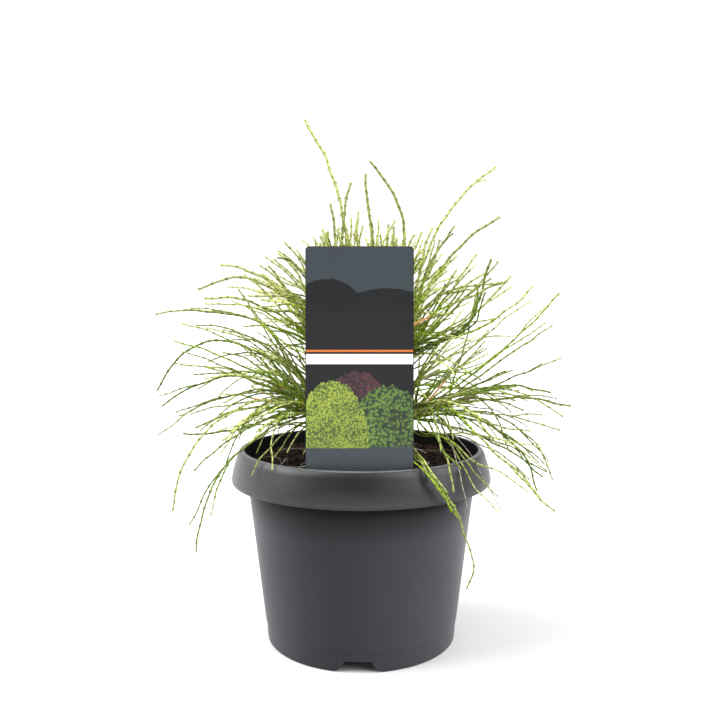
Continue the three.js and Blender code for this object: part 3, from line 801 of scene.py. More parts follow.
def rings_along(points):
    """Two directions across a curve at each of its points."""
    tangents = np.gradient(points, axis=0)
    tangents /= np.linalg.norm(tangents, axis=1)[:, None]
    normal = np.cross(tangents[0], tangents[-1])
    if np.linalg.norm(normal) < 0.05:
        normal = np.cross(tangents[0], (0.3, 0.2, 1.0))
    side = np.cross(tangents, normal / np.linalg.norm(normal))
    side /= np.linalg.norm(side, axis=1)[:, None]
    return side, np.cross(tangents, side), tangents


def add_tube(parts, points, radii, sides, looks, cap_look, pointed):
    """A closed tube along points, with a look for each band. A pointed tube ends in a tip."""
    side, other, tangents = rings_along(points)
    count = len(points)
    angle = 2 * math.pi * np.arange(sides) / sides
    around = side[:, None] * np.cos(angle)[:, None] + other[:, None] * np.sin(angle)[:, None]
    rings = points[:, None] + around * radii[:, None, None]
    root = points[0] - tangents[0] * 0.1
    tip = points[-1] + tangents[-1] * radii[-1] * (2.2 if pointed else 0.3)
    vertices = np.vstack([rings.reshape(-1, 3), root, tip])
    i = np.arange(count - 1)[:, None] * sides
    j = np.arange(sides)[None]
    k = (j + 1) % sides
    quads = np.stack([i + j, i + k, i + k + sides, i + j + sides], axis=-1).reshape(-1, 4)
    last = (count - 1) * sides
    ends = [(b, a, count * sides) for a, b in zip(j[0], k[0])]
    ends += [(last + a, last + b, count * sides + 1) for a, b in zip(j[0], k[0])]
    parts.add(vertices, quads, np.repeat(looks, sides), ends, np.full(2 * sides, cap_look))
    return side, other, tangents


# Threads: green shoots of jointed scale leaves

# The rings of one joint, as shares of its length and of the shoot's radius
RING_PLACES = np.array((0.0, 0.12, 0.5, 0.87))
RING_SIZES = np.array((0.92, 0.86, 0.96, 1.13))
INTERNODE = 6.4
JOINT = 1
TIP_LOOK = 2 * TINTS
YOUNG_BARK, GREEN_BARK, STEM_BARK = range(3)
THREAD_TAPER = 0.25
TIP_LENGTH = 0.6
TIP_SIZE = 0.7
FRESH_END_FROM = 0.7

# A scale leaf: half its width in radians, its length in the shoot's radii, how far its tip stands off, and
# the places of its sides and its keel in radii
LEAF_SPREAD = 0.62
LEAF_LENGTH = 2.1
LEAF_STANDOFF = 0.35
SIDES_OUT = 0.96
SIDES_BACK = 0.5
KEEL_OUT = 1.14
KEEL_BACK = 1.3


def add_thread(parts, curve, start, radius, tint, deep, fresh_end, phase, sides):
    """A shoot along a curve from a distance start, with a pair of pointed leaves at each joint.

    Its first joints as far as the share deep are vivid, and its last ones may be fresher."""
    length = path_length(curve)
    joints = max(1, round((length - start) / INTERNODE))
    stride = (length - start) / joints
    places = (np.arange(joints)[:, None] + RING_PLACES).ravel()
    at = start + places * stride
    points = resample(curve, np.append(at, length - TIP_LENGTH))
    share = np.append(at, length) / length
    sizes = np.append(np.tile(RING_SIZES, joints), TIP_SIZE)
    radii = radius * (1 - THREAD_TAPER * share ** 2) * sizes
    tints = np.full(joints, tint)
    if fresh_end:
        tints[round(joints * FRESH_END_FROM):] = max(tint - 1, 0)
    tints[:round(joints * deep)] = VIVID
    looks = 2 * np.repeat(tints, len(RING_PLACES)) + np.tile((JOINT, 0, 0, JOINT), joints)
    side, other, tangents = add_tube(parts, points, radii, sides, looks, 2 * tints[-1], True)
    bulges = np.arange(joints) * len(RING_PLACES) + len(RING_PLACES) - 1
    turn = phase + np.arange(joints) * math.pi / 2
    for half in (0, math.pi):
        add_leaves(parts, points, radii, side, other, tangents, bulges, turn + half, tints)


def add_leaves(parts, points, radii, side, other, tangents, bulges, turn, tints):
    """One small pointed scale leaf at each joint, hugging the shoot with its tip standing off."""
    centre, radius, ahead = points[bulges], radii[bulges][:, None], tangents[bulges]

    def outward(angle):
        return side[bulges] * np.cos(angle)[:, None] + other[bulges] * np.sin(angle)[:, None]

    out = outward(turn)
    left = centre + outward(turn + LEAF_SPREAD) * radius * SIDES_OUT - ahead * radius * SIDES_BACK
    right = centre + outward(turn - LEAF_SPREAD) * radius * SIDES_OUT - ahead * radius * SIDES_BACK
    keel = centre + out * radius * KEEL_OUT - ahead * radius * KEEL_BACK
    tip = centre + out * (radius + LEAF_STANDOFF) + ahead * radius * LEAF_LENGTH
    count = len(bulges)
    vertices = np.stack([left, right, keel, tip], axis=1).reshape(-1, 3)
    base = np.arange(count)[:, None] * 4
    faces = np.concatenate([base + f for f in ((1, 2, 3), (2, 0, 3), (0, 1, 3), (1, 0, 2))])
    looks = np.tile(np.where(tints == 0, TIP_LOOK, 2 * tints), 4)
    parts.add_triangles(vertices, faces, looks)


def wavy(curve, chance):
    """A curve with the slight waver of a live shoot, none at its root."""
    reached = reached_along(curve)
    fade = np.clip(reached / WAVER_FADING, 0, 1)[:, None]
    moved = np.zeros_like(curve)
    for axis in range(3):
        for wave in (chance.uniform(17, 26), chance.uniform(34, 60)):
            phase = chance.uniform(0, 2 * math.pi)
            swing = np.sin(reached / wave * 2 * math.pi + phase) - math.sin(phase)
            moved[:, axis] += WAVER * wave / 40 * swing
    return curve + moved * fade


def off_the_label(curve, radius):
    """Moves a curve's points back where they would pass through the label."""
    curve = curve.copy()
    least = LABEL_THICKNESS / 2 + radius + 0.2
    behind = behind_label(curve)
    push = (behind < least) & (behind > -8)
    push &= np.abs(curve[:, 0] - LABEL_X) < LABEL_WIDTH / 2 + radius
    push &= curve[:, 2] < LABEL_TOP + radius
    curve[push, 1] += (least - behind)[push]
    return curve


def pick_tint(one, number, leaders, tier_name, shoots, chance):
    """A tint for a shoot by where it grows. A twig mostly has its parent's."""
    if one["parent"] is None:
        outer = number < leaders and tier_name != "low"
        tint = chance.choices(LIVE_TINTS, TINT_WEIGHTS["leader" if outer else tier_name])[0]
        sinks = one["path"][-1][2] < one["path"][0][2]
        if tier_name == "low" and sinks and number >= SINKING_FROM:
            tint = chance.choices((*LIVE_TINTS, DRY), SINKING_TINT_WEIGHTS)[0]
        return tint
    parent_tint = shoots[one["parent"]]["tint"]
    if parent_tint == DRY or chance.random() < TINT_KEPT_SHARE:
        return parent_tint
    return chance.randrange(DRY)


def add_bare_foot(wood, body, radius, one, laid, chance):
    """The bare foot of a shoot. Returns how far along the shoot it reaches."""
    woody = chance.random() < WOODY_SHARE and not laid
    bare = chance.uniform(*(WOODY_LENGTHS if woody else BARE_LENGTHS))
    bare = min(bare, path_length(one["curve"]) * LONGEST_BARE_SHARE)
    if one.get("woody"):
        woody = True
        bare = one["woody"]
    at = np.linspace(0, bare + BARE_OVERLAP, max(3, round(bare / 3)))
    radii = radius * np.linspace(*BARE_TAPER, len(at))
    look = YOUNG_BARK if woody else GREEN_BARK
    add_tube(wood, resample(body, at), radii, 6, np.full(len(at) - 1, look), look, False)
    return bare


def grow_mass(mass, limbs, index):
    """A mass's sprays of thread shoots, and its woody stem and shoots' bare feet, as two pieces' parts."""
    seed = FIRST_SEED + index
    shoots, neighbours = shoots_of(mass, limbs, seed)
    chance = random.Random(2000 + seed)
    tier_name = mass["tier_name"]
    leaders = sum(leader[0] == mass["name"] for leader in LEADERS)
    for one in [one for one in shoots if one["level"] == 0][:leaders]:
        one["thickness"] = LEADER_THICKENING
    add_inner_shoots(mass, limbs, shoots, neighbours, chance)
    add_laid_shoots(mass, shoots)
    for level in SIDE_TWIGS:
        add_side_twigs(mass, limbs, shoots, neighbours, level, chance)
    sprays, wood = Parts(), Parts()
    for number, one in enumerate(shoots):
        laid = "tint" in one
        curve = eased(curve_through(one["path"]), LAID_EASING if laid else GROWN_EASING)
        if not laid:
            one["tint"] = pick_tint(one, number, leaders, tier_name, shoots, chance)
        if one["parent"] is not None:
            on_parent = along(shoots[one["parent"]]["curve"], one["share"])
            curve = curve + (on_parent - curve[0])
        radius = THREAD_RADII[one["level"]] * chance.uniform(*THREAD_SPREAD)
        radius *= one.get("thickness", 1) * TIER_THICKNESS[tier_name]
        if one["tint"] == DRY:
            radius *= DRY_THINNING
        one["curve"] = wavy(curve, chance)
        body = off_the_label(grown(one["curve"]), radius)
        bare = add_bare_foot(wood, body, radius, one, laid, chance) if one["level"] == 0 else 0.0
        fresh_end = one["tint"] < DRY and number >= leaders and chance.random() < FRESH_END_SHARE
        deep = 0
        if one["level"] == 0 and one["tint"] in (0, 1):
            deep = chance.uniform(*DEEP_SHARES["leader" if number < leaders else tier_name])
        add_thread(sprays, body, bare, radius, one["tint"], deep, fresh_end, chance.uniform(0, math.pi),
                   THREAD_SIDES[one["level"]])
    add_stem(wood, mass, chance)
    return sprays, wood


def add_stem(wood, mass, chance):
    """The stem of a mass, from inside its bough's tip, with the knobs that shoots leave from."""
    into = mass["stem"][0] + (mass["stem"][0] - mass["stem"][1]) * STEM_INTO_BOUGH
    curve = curve_through(np.vstack([into, mass["stem"][1:]]))
    length = path_length(curve)
    at = np.linspace(0, length, round(length / 1.5))
    knobs = np.array([chance.uniform(*STEM_KNOBS) for _ in at])
    radii = lerp(STEM_ROOT_RADIUS, STEM_TIP_RADIUS, at / length) * knobs
    body = off_the_label(grown(resample(curve, at)), STEM_ROOT_RADIUS)
    looks = np.where(at[1:] > length * STEM_BROWN_SHARE, GREEN_BARK, STEM_BARK)
    add_tube(wood, body, radii, 9, looks, GREEN_BARK, True)


# Modelling helpers


def select_points(piece, test):
    """Selects just the vertices whose place passes a test, in edit mode."""
    bpy.ops.object.mode_set(mode="OBJECT")
    mesh = piece.data
    for group in (mesh.vertices, mesh.edges, mesh.polygons):
        group.foreach_set("select", np.zeros(len(group), bool))
    for vertex in mesh.vertices:
        vertex.select = test(vertex.co)
    bpy.ops.object.mode_set(mode="EDIT")
    bpy.ops.mesh.select_mode(type="VERT")


def select_only(*pieces):
    """Selects pieces alone, the first of them active."""
    bpy.ops.object.select_all(action="DESELECT")
    for piece in pieces:
        piece.select_set(True)
    bpy.context.view_layer.objects.active = pieces[0]


def join_up(threshold):
    """Joins points that all but touch, and turns the faces outwards."""
    bpy.ops.mesh.select_all(action="SELECT")
    bpy.ops.mesh.remove_doubles(threshold=threshold)
    bpy.ops.mesh.normals_make_consistent(inside=False)


def extrude_by(x, y, z):
    """Extrudes what is selected and moves it."""
    bpy.ops.mesh.extrude_region_move(TRANSFORM_OT_translate={"value": (x * M, y * M, z * M)})


def start_piece(name):
    """Names the newest object and its mesh, and enters edit mode."""
    piece = bpy.context.active_object
    piece.name = name
    piece.data.name = name
    bpy.ops.object.mode_set(mode="EDIT")
    return piece


def end_piece(piece, *materials):
    """Leaves edit mode and puts the object at the origin, with its place in its mesh."""
    if bpy.context.object.mode != "OBJECT":
        bpy.ops.object.mode_set(mode="OBJECT")
    select_only(piece)
    bpy.ops.object.transform_apply(location=True, rotation=True, scale=True)
    for material in materials:
        piece.data.materials.append(material)
    return piece


def finish_smooth(piece, material):
    """Gives a piece its one material, and smooth faces."""
    piece.data.materials.append(material)
    piece.data.polygons.foreach_set("use_smooth", np.ones(len(piece.data.polygons), bool))
    return piece


def apply_modifiers(piece):
    bpy.context.view_layer.objects.active = piece
    for modifier in list(piece.modifiers):
        bpy.ops.object.modifier_apply(modifier=modifier.name)


def turned_outline(name, outline, steps):
    """A round piece: one vertex is extruded along the outline, then spun about the upright axis."""
    (radius, height), *rest = outline
    bpy.ops.mesh.primitive_plane_add(size=M, location=(radius * M, 0, height * M))
    piece = start_piece(name)
    bpy.ops.mesh.merge(type="CENTER")
    bpy.ops.mesh.select_all(action="SELECT")
    for next_radius, next_height in rest:
        extrude_by(next_radius - radius, 0, next_height - height)
        radius, height = next_radius, next_height
    bpy.ops.mesh.select_all(action="SELECT")
    bpy.ops.mesh.spin(steps=steps, angle=2 * math.pi, center=(0, 0, 0), axis=(0, 0, 1))
    join_up(0.00002)
    return end_piece(piece)


def rounded(corners, steps=4):
    """An outline whose corners (radius, height, rounding) become arcs of that rounding."""
    outline = []
    for i, (radius, height, rounding) in enumerate(corners):
        here = np.array((radius, height), float)
        if rounding == 0 or i in (0, len(corners) - 1):
            outline.append(tuple(here))
            continue
        before = np.array(corners[i - 1][:2], float) - here
        after = np.array(corners[i + 1][:2], float) - here
        reach = min(rounding, np.linalg.norm(before) * 0.45, np.linalg.norm(after) * 0.45)
        first = here + before / np.linalg.norm(before) * reach
        last = here + after / np.linalg.norm(after) * reach
        for t in np.arange(steps + 1) / steps:
            outline.append(tuple((1 - t) ** 2 * first + 2 * t * (1 - t) * here + t ** 2 * last))
    return outline


# Pot


# The materials of the pot's faces that follow its body's: painted shade on the inner wall, a painted
# highlight on the rim's top by the mouth, and the rim's own copy with painted light
INSIDE_PAINTED_SHADE, MOUTH_EDGE_PAINTED_HIGHLIGHT, RIM = 1, 2, 3


def pot_body_radius(z):
    """The radius of the pot's outside wall at a height."""
    rise = (z - FOOT_LINE_HEIGHT) / (POT_NECK_HEIGHT - FOOT_LINE_HEIGHT)
    return lerp(POT_FOOT_RADIUS + 1.6, POT_NECK_RADIUS, rise)


def make_pot(*materials):
    """The pot, turned from corners with a radius, a height and a rounding each.

    They go from under the floor out, up the wall, over the rim and down inside."""
    ring = POT_FOOT_RADIUS - FOOT_RING_WIDTH
    rim_inside = RIM_RADIUS - POT_WALL
    floor = FOOT_RECESS + POT_WALL
    line = pot_body_radius(FOOT_LINE_HEIGHT)
    corners = [
        (0, FOOT_RECESS, 0),
        (ring - 1, FOOT_RECESS, 0.8),
        (ring, 0, 0.8),
        (POT_FOOT_RADIUS - 0.1, 0, 1.4),
        (line - FOOT_LINE_STEP, FOOT_LINE_HEIGHT - 0.7, 0.3),
        (line, FOOT_LINE_HEIGHT, 0.3),
        (pot_body_radius(70), 70, 6),
        (POT_NECK_RADIUS, POT_NECK_HEIGHT, 2),
        (RIM_MOUTH_RADIUS + 1.6, RIM_LOW + 4, 2),
        (RIM_MOUTH_RADIUS + 1.8, POT_HEIGHT - 7, 1.5),
        (rim_inside - 4.4, POT_HEIGHT - 9, 1.5),
        (rim_inside - 0.9, RIM_LOW + 1, 0.8),
        (rim_inside - 0.2, RIM_LOW, 0.4),
        (RIM_RADIUS - 0.5, RIM_LOW + 0.2, 0.7),
        (RIM_RADIUS, RIM_LOW + 3.2, 1.6),
        (RIM_RADIUS - 1.6, RIM_LOW + 11, 5),
        (RIM_RADIUS - 5.2, POT_HEIGHT - 4, 5),
        (RIM_RADIUS - 7.4, POT_HEIGHT - 0.4, 2.2),
        (RIM_MOUTH_RADIUS + 0.3, POT_HEIGHT, 1.2),
        (RIM_MOUTH_RADIUS, POT_HEIGHT - 2, 0.8),
        (COLLAR_RADIUS, COLLAR_LOW, 2),
        (pot_body_radius(COLLAR_SHELF) - POT_WALL, COLLAR_SHELF, 1),
        (pot_body_radius(floor) - POT_WALL, floor, 2),
        (0, floor, 0),
    ]
    pot = turned_outline("pot_shell", rounded(corners), 144)
    for i in range(NOTCH_COUNT):
        cutter = make_notch_cutter(NOTCH_AZIMUTH + 360 / NOTCH_COUNT * i)
        cut = pot.modifiers.new("notch", "BOOLEAN")
        cut.operation = "DIFFERENCE"
        cut.object = cutter
        apply_modifiers(pot)
        bpy.data.objects.remove(cutter)
    for material in materials:
        pot.data.materials.append(material)
    for face in pot.data.polygons:
        x, y, z = face.center / M
        radius = math.hypot(x, y)
        looks_inwards = face.normal.x * x + face.normal.y * y < -0.3 * radius
        # Painted shade: the inner wall gets a near-black copy of the plastic
        if z > FOOT_RECESS + POT_WALL and radius < RIM_MOUTH_RADIUS + 0.2 and looks_inwards:
            face.material_index = INSIDE_PAINTED_SHADE
        # Painted highlight: the rim's flat top by the mouth gets a lighter copy of the plastic
        elif z > POT_HEIGHT - 1.5 and radius < RIM_MOUTH_RADIUS + 3.4:
            face.material_index = MOUTH_EDGE_PAINTED_HIGHLIGHT
        # The rim's faces take its own copy of the plastic, which carries painted light and a painted
        # highlight
        elif z > RIM_LOW and radius > RIM_MOUTH_RADIUS:
            face.material_index = RIM
    select_only(pot)
    bpy.ops.object.shade_smooth_by_angle(angle=math.radians(32))
    return pot


# Height and half a width, from the top of a notch down below the pot's foot
NOTCH_HALF_WIDTHS = ((9, 10.8), (6.6, 11.5), (4.2, 13), (2.4, 14.8), (1.1, 16.8), (0.2, 19), (-1, 21))


def make_notch_cutter(azimuth):
    """A drainage notch's shape: a block whose foot flares out in rounded steps."""
    depth = NOTCH_DEPTH + 6
    height, half = NOTCH_HALF_WIDTHS[0]
    out = POT_FOOT_RADIUS + 6 - depth / 2
    bpy.ops.mesh.primitive_plane_add(size=1, location=(0, 0, height * M))
    cutter = start_piece("notch_cutter")
    bpy.ops.transform.resize(value=(depth * M, 2 * half * M, 1))
    for next_height, next_half in NOTCH_HALF_WIDTHS[1:]:
        extrude_by(0, 0, next_height - height)
        bpy.ops.transform.resize(value=(1, next_half / half, 1))
        height, half = next_height, next_half
    bpy.ops.mesh.select_all(action="SELECT")
    bpy.ops.mesh.normals_make_consistent(inside=False)
    bpy.ops.object.mode_set(mode="OBJECT")
    turn = math.radians(azimuth)
    cutter.rotation_euler = (0, 0, turn)
    cutter.location = (out * M * math.cos(turn), out * M * math.sin(turn), NOTCH_HALF_WIDTHS[0][0] * M)
    return end_piece(cutter)


# Soil


def soil_relief(x, y):
    """How far the soil's crumbs stand above or below its mound at a place."""
    coarse = noise.fractal(Vector((x * 0.055, y * 0.055, 3.0)), 0.8, 2.2, 3)
    fine = noise.fractal(Vector((x * 0.32, y * 0.32, 9.0)), 0.7, 2.1, 4)
    return 1.3 * coarse + 1.1 * fine


def make_soil(material):
    """The soil, which fills the pot to its crumbly top."""
    edge = COLLAR_RADIUS - 0.1
    floor = FOOT_RECESS + POT_WALL + PIECE_CLEARANCE
    outline = [
        (0, floor),
        (pot_body_radius(floor) - POT_WALL - PIECE_CLEARANCE, floor),
        (pot_body_radius(COLLAR_SHELF) - POT_WALL - PIECE_CLEARANCE, COLLAR_SHELF + 0.2),
        (edge - 0.2, COLLAR_LOW + 0.2),
        (edge, SOIL_EDGE_HEIGHT - 2),
        *((r, float(soil_height(r))) for r in np.linspace(edge, 0, 76)),
    ]
    soil = turned_outline("soil_surface", outline, 200)
    for vertex in soil.data.vertices:
        x, y, z = vertex.co / M
        radius = math.hypot(x, y)
        if z < soil_height(radius) - 0.5:
            continue
        near_trunk = math.exp(-((radius - TRUNK_FOOT_RADIUS) / 9) ** 2)
        lift = soil_relief(x, y) * (1 - 0.9 * near_trunk) + 0.9 * near_trunk
        vertex.co.z += lift * M
    return finish_smooth(soil, material)


CRUMB_COUNT = 3600
CRUMB_LOOK_WEIGHTS = (5, 5, 3.5, 1.2)
STRAW_COUNT = 36
STRAW_BANDS = 24
CRUMB_CORNERS = np.array((
    (1, 0, 0), (-1, 0, 0), (0, 1, 0), (0, -1, 0), (0, 0, 1), (0, 0, -1)), float)
CRUMB_FACES = np.array((
    (0, 2, 4), (2, 1, 4), (1, 3, 4), (3, 0, 4), (2, 0, 5), (1, 2, 5), (3, 1, 5), (0, 3, 5)))


def place_on_soil(chance):
    """A place on the soil clear of the trunk, the wall and the label's stake."""
    while True:
        radius = COLLAR_RADIUS * math.sqrt(chance.random()) * 0.975
        azimuth = chance.uniform(0, 2 * math.pi)
        x, y = radius * math.cos(azimuth), radius * math.sin(azimuth)
        at_stake = abs(x - LABEL_X) < LABEL_STAKE_WIDTH and abs(y - LABEL_Y) < 3
        if radius > 10 and not at_stake:
            return x, y, float(soil_height(radius)) + soil_relief(x, y)


def make_crumbs(materials):
    """Loose crumbs of soil and bark, each of them an octahedron with its corners moved."""
    chance = random.Random(31)
    parts = Parts()
    for _ in range(CRUMB_COUNT):
        x, y, z = place_on_soil(chance)
        size = chance.uniform(0.4, 1.05) * (1.9 if chance.random() < 0.08 else 1)
        axes = np.array((size * chance.uniform(1, 2.4), size, size * chance.uniform(0.35, 0.8)))
        corners = CRUMB_CORNERS * axes
        corners += np.array([[chance.uniform(-0.25, 0.25) * size for _ in range(3)] for _ in corners])
        turn, tilt = chance.uniform(0, math.pi), chance.uniform(-0.5, 0.5)
        c, s, ct, st = math.cos(turn), math.sin(turn), math.cos(tilt), math.sin(tilt)
        corners = corners @ np.array(((c, s, 0), (-s, c, 0), (0, 0, 1)))
        corners = corners @ np.array(((1, 0, 0), (0, ct, st), (0, -st, ct)))
        look = chance.choices(range(4), CRUMB_LOOK_WEIGHTS)[0]
        corners += (x, y, z + axes[2] * 0.3)
        parts.add_triangles(corners, CRUMB_FACES, np.full(len(CRUMB_FACES), look))
    return parts.piece("soil_crumbs", materials, smooth=False)


def make_straws(materials):
    """Dry pale stems that lie on the soil, some arched a little."""
    chance = random.Random(47)
    parts = Parts()
    for _ in range(STRAW_COUNT):
        x, y, z = place_on_soil(chance)
        length = chance.uniform(12, 55)
        azimuth = chance.uniform(0, 360)
        turn = chance.uniform(-130, 130)
        path = shoot((x, y, z), azimuth, 0, 0, length, 12, turn)
        middle = path[6, :2]
        path[:, :2] += (np.array((x, y)) - middle) * 0.5
        radius = np.hypot(path[:, 0], path[:, 1])
        if (radius > COLLAR_RADIUS - 1.5).any() or (radius < 10).any():
            continue
        ground = [float(soil_height(r)) + soil_relief(*p) for r, p in zip(radius, path[:, :2])]
        arch = chance.uniform(0.3, 4.5) * np.sin(np.linspace(0, math.pi, len(path)))
        path[:, 2] = np.convolve(np.pad(ground, 2, mode="edge"), np.ones(5) / 5, "valid") + 0.5 + arch
        thickness = chance.uniform(0.28, 0.55)
        look = chance.randrange(2)
        radii = thickness * np.linspace(1, 0.6, STRAW_BANDS + 1)
        at = np.linspace(0, path_length(path) * 0.99, STRAW_BANDS + 1)
        points = resample(curve_through(path, 4), at)
        add_tube(parts, points, radii, 6, np.full(STRAW_BANDS, look), look, True)
    return parts.piece("soil_straws", materials)


# Trunk and boughs


def limb(name, points, radii):
    """A round limb along points: a curve with a bevel, then made a mesh."""
    curve = bpy.data.curves.new(name, "CURVE")
    curve.dimensions = "3D"
    curve.bevel_depth = M
    curve.bevel_resolution = 5
    curve.use_fill_caps = True
    spline = curve.splines.new("POLY")
    spline.points.add(len(points) - 1)
    for spot, point, radius in zip(spline.points, points, radii):
        spot.co = (*(point * M), 1)
        spot.radius = radius
    return new_object(name, curve)


def make_woody_frame(masses, material):
    """The trunk with its boughs grown together at their crotches, with the bark's strips raised on it."""
    heights = TRUNK_FOOT + (TRUNK_TOP - TRUNK_FOOT) * np.linspace(0, 1, 40) ** 1.4
    trunk_points = grown(np.stack([0 * heights, 0 * heights, heights], axis=1))
    limbs = [limb("woody_frame", trunk_points, trunk_radius(heights))]
    for mass in masses:
        points = curve_through(mass["bough"])
        share = np.linspace(0, 1, len(points))
        collar = 1 + 0.35 * np.exp(-((share - 0.08) / 0.1) ** 2)
        limbs.append(limb("bough", grown(points), lerp(BOUGH_ROOT_RADIUS, STEM_ROOT_RADIUS, share) * collar))
    select_only(*limbs)
    bpy.ops.object.convert(target="MESH")
    bpy.ops.object.join()
    piece = bpy.context.active_object
    bpy.ops.object.mode_set(mode="EDIT")
    join_up(0.00001)
    bpy.ops.object.mode_set(mode="OBJECT")
    remesh = piece.modifiers.new("grown_together", "REMESH")
    remesh.mode = "VOXEL"
    remesh.voxel_size = 0.5 * M
    smooth = piece.modifiers.new("eased", "SMOOTH")
    smooth.factor = 0.5
    smooth.iterations = 4
    apply_modifiers(piece)
    raise_bark(piece)
    return finish_smooth(piece, material)


def raise_bark(piece):
    """Long strips of bark with furrows between them, finer towards the boughs' tips."""
    normals = [vertex.normal.copy() for vertex in piece.data.vertices]
    for vertex, normal in zip(piece.data.vertices, normals):
        x, y, z = vertex.co / M
        if z < TRUNK_FOOT + 0.2:
            continue
        thick = math.hypot(x, y) < 12
        strips = noise.ridged_multi_fractal(Vector((x * 0.55, y * 0.55, z * 0.11)), 0.8, 2.1, 3, 1.0, 2.0)
        grain = noise.noise(Vector((x * 1.6, y * 1.6, z * 0.5)))
        vertex.co += normal * M * ((0.3 if thick else 0.16) * (strips - 1.0) + 0.09 * grain)


# Label


def flat_piece(name, primitive, width, height, x, z, **options):
    """A flat upright shape that faces -Y, before it gets its thickness."""
    primitive(rotation=(math.pi / 2, 0, 0), **options)
    piece = bpy.context.active_object
    piece.scale = (width * M, height * M, 1)
    piece.location = ((LABEL_X + x) * M, 0, z * M)
    piece.name = name
    piece.data.name = name
    return end_piece(piece)


def flat_panel(name, width, low, high):
    """An upright rectangle across the label between two heights."""
    middle = (low + high) / 2
    return flat_piece(name, bpy.ops.mesh.primitive_plane_add, width, high - low, 0, middle, size=1)


def flat_mound(name, half_width, height, x, z, leafy):
    """A rounded shape cut off level at its foot and at the label's edges, its rim uneven as far as leafy."""
    mound = flat_piece(
        name, bpy.ops.mesh.primitive_circle_add, half_width, height, x, z,
        radius=1, vertices=160, fill_type="NGON")
    centre = Vector(((LABEL_X + x) * M, 0, z * M))
    for vertex in mound.data.vertices:
        off = vertex.co - centre
        swell = 1 + leafy * noise.noise(off * 900) + leafy * 0.6 * noise.noise(off * 2300)
        vertex.co = centre + off * swell
    bpy.ops.object.mode_set(mode="EDIT")
    edge = LABEL_WIDTH / 2 - 0.5
    for place, normal in (
            ((0, 0, z * M), (0, 0, -1)),
            (((LABEL_X + edge) * M, 0, 0), (1, 0, 0)),
            (((LABEL_X - edge) * M, 0, 0), (-1, 0, 0))):
        bpy.ops.mesh.select_all(action="SELECT")
        bpy.ops.mesh.bisect(plane_co=place, plane_no=normal, clear_outer=True)
    bpy.ops.object.mode_set(mode="OBJECT")
    return mound


def finish_label_piece(piece, thickness, offset, material):
    """Gives a flat piece its thickness, leans it back about the soil line and puts it in its place."""
    solid = piece.modifiers.new("thickness", "SOLIDIFY")
    solid.thickness = thickness * M
    solid.offset = offset
    apply_modifiers(piece)
    for vertex in piece.data.vertices:
        vertex.co.z -= SOIL_MOUND_HEIGHT * M
    piece.rotation_euler = (-math.radians(LABEL_LEAN), 0, 0)
    piece.location = (0, LABEL_Y * M, SOIL_MOUND_HEIGHT * M)
    end_piece(piece, material)
    bpy.ops.object.shade_smooth_by_angle(angle=math.radians(30))
    return piece


def round_top(piece):
    """Rounds the two top corners of a flat piece."""
    select_points(piece, lambda co: co.z > (LABEL_TOP - 1) * M)
    bpy.ops.mesh.bevel(offset=LABEL_CORNER * M, segments=6, affect="VERTICES")
    bpy.ops.object.mode_set(mode="OBJECT")
    return piece


def make_label_plate(material):
    """The plate with its rounded top corners, its shoulders and the stake that goes into the soil."""
    low = LABEL_SHOULDER
    plate = flat_panel("label_plate", LABEL_WIDTH, low, LABEL_TOP)
    bpy.ops.object.mode_set(mode="EDIT")
    half = LABEL_WIDTH / 2
    for height, next_half in (
            (LABEL_SHOULDER - 3, half - 8),
            (LABEL_SHOULDER - 5, LABEL_STAKE_WIDTH / 2),
            (LABEL_STAKE_TIP, LABEL_STAKE_WIDTH * 0.15)):
        select_points(plate, lambda co: co.z < (low + 0.5) * M)
        extrude_by(0, 0, height - low)
        bpy.ops.transform.resize(value=(next_half / half, 1, 1))
        low, half = height, next_half
    return finish_label_piece(round_top(plate), LABEL_THICKNESS, 0, material)


PRINT_THICKNESS = 0.05
PRINT_STEP = 0.025


def make_label(looks):
    """The plate and its printed shapes: a plain sky with hills, a band with a line, and three hedges."""
    face = LABEL_THICKNESS / 2
    width = LABEL_WIDTH - 1
    layers = [
        (round_top(flat_panel("label_sky", width, 276, LABEL_TOP - 0.5)), "print_sky"),
        (flat_mound("label_hill_left", 27, 24, -24, 275, 0.03), "print_dark"),
        (flat_mound("label_hill_right", 34, 17, 20, 275, 0.03), "print_dark"),
        (flat_panel("label_foot_strip", width, LABEL_SHOULDER + 0.5, 178), "print_foot"),
        (flat_mound("label_hedge_maroon", 30, 55, -2, 176, 0.05), "print_maroon"),
        (flat_mound("label_hedge_green", 31, 45, 21, 175, 0.06), "print_green"),
        (flat_mound("label_hedge_lime", 27, 50, -20, 174, 0.06), "print_lime"),
        (flat_panel("label_band", width, 236, 243.5), "print_white"),
        (flat_panel("label_line", width, 245, 246.6), "print_orange"),
    ]
    pieces = [make_label_plate(looks["label_slate"])]
    for i, (piece, look) in enumerate(layers):
        for vertex in piece.data.vertices:
            vertex.co.y -= (face + PRINT_STEP * (i + 1)) * M
        pieces.append(finish_label_piece(piece, PRINT_THICKNESS, -1, looks[look]))
    return pieces


# Materials


def new_group(name, inputs, outputs):
    """A shader node group with a name and a kind for each input and output."""
    group = bpy.data.node_groups.new(name, "ShaderNodeTree")
    for label, kind, value in inputs:
        socket = group.interface.new_socket(name=label, in_out="INPUT", socket_type=kind)
        if value is not None:
            socket.default_value = value
    for label, kind in outputs:
        group.interface.new_socket(name=label, in_out="OUTPUT", socket_type=kind)
    start = group.nodes.new("NodeGroupInput")
    end = group.nodes.new("NodeGroupOutput")
    return group, start, end


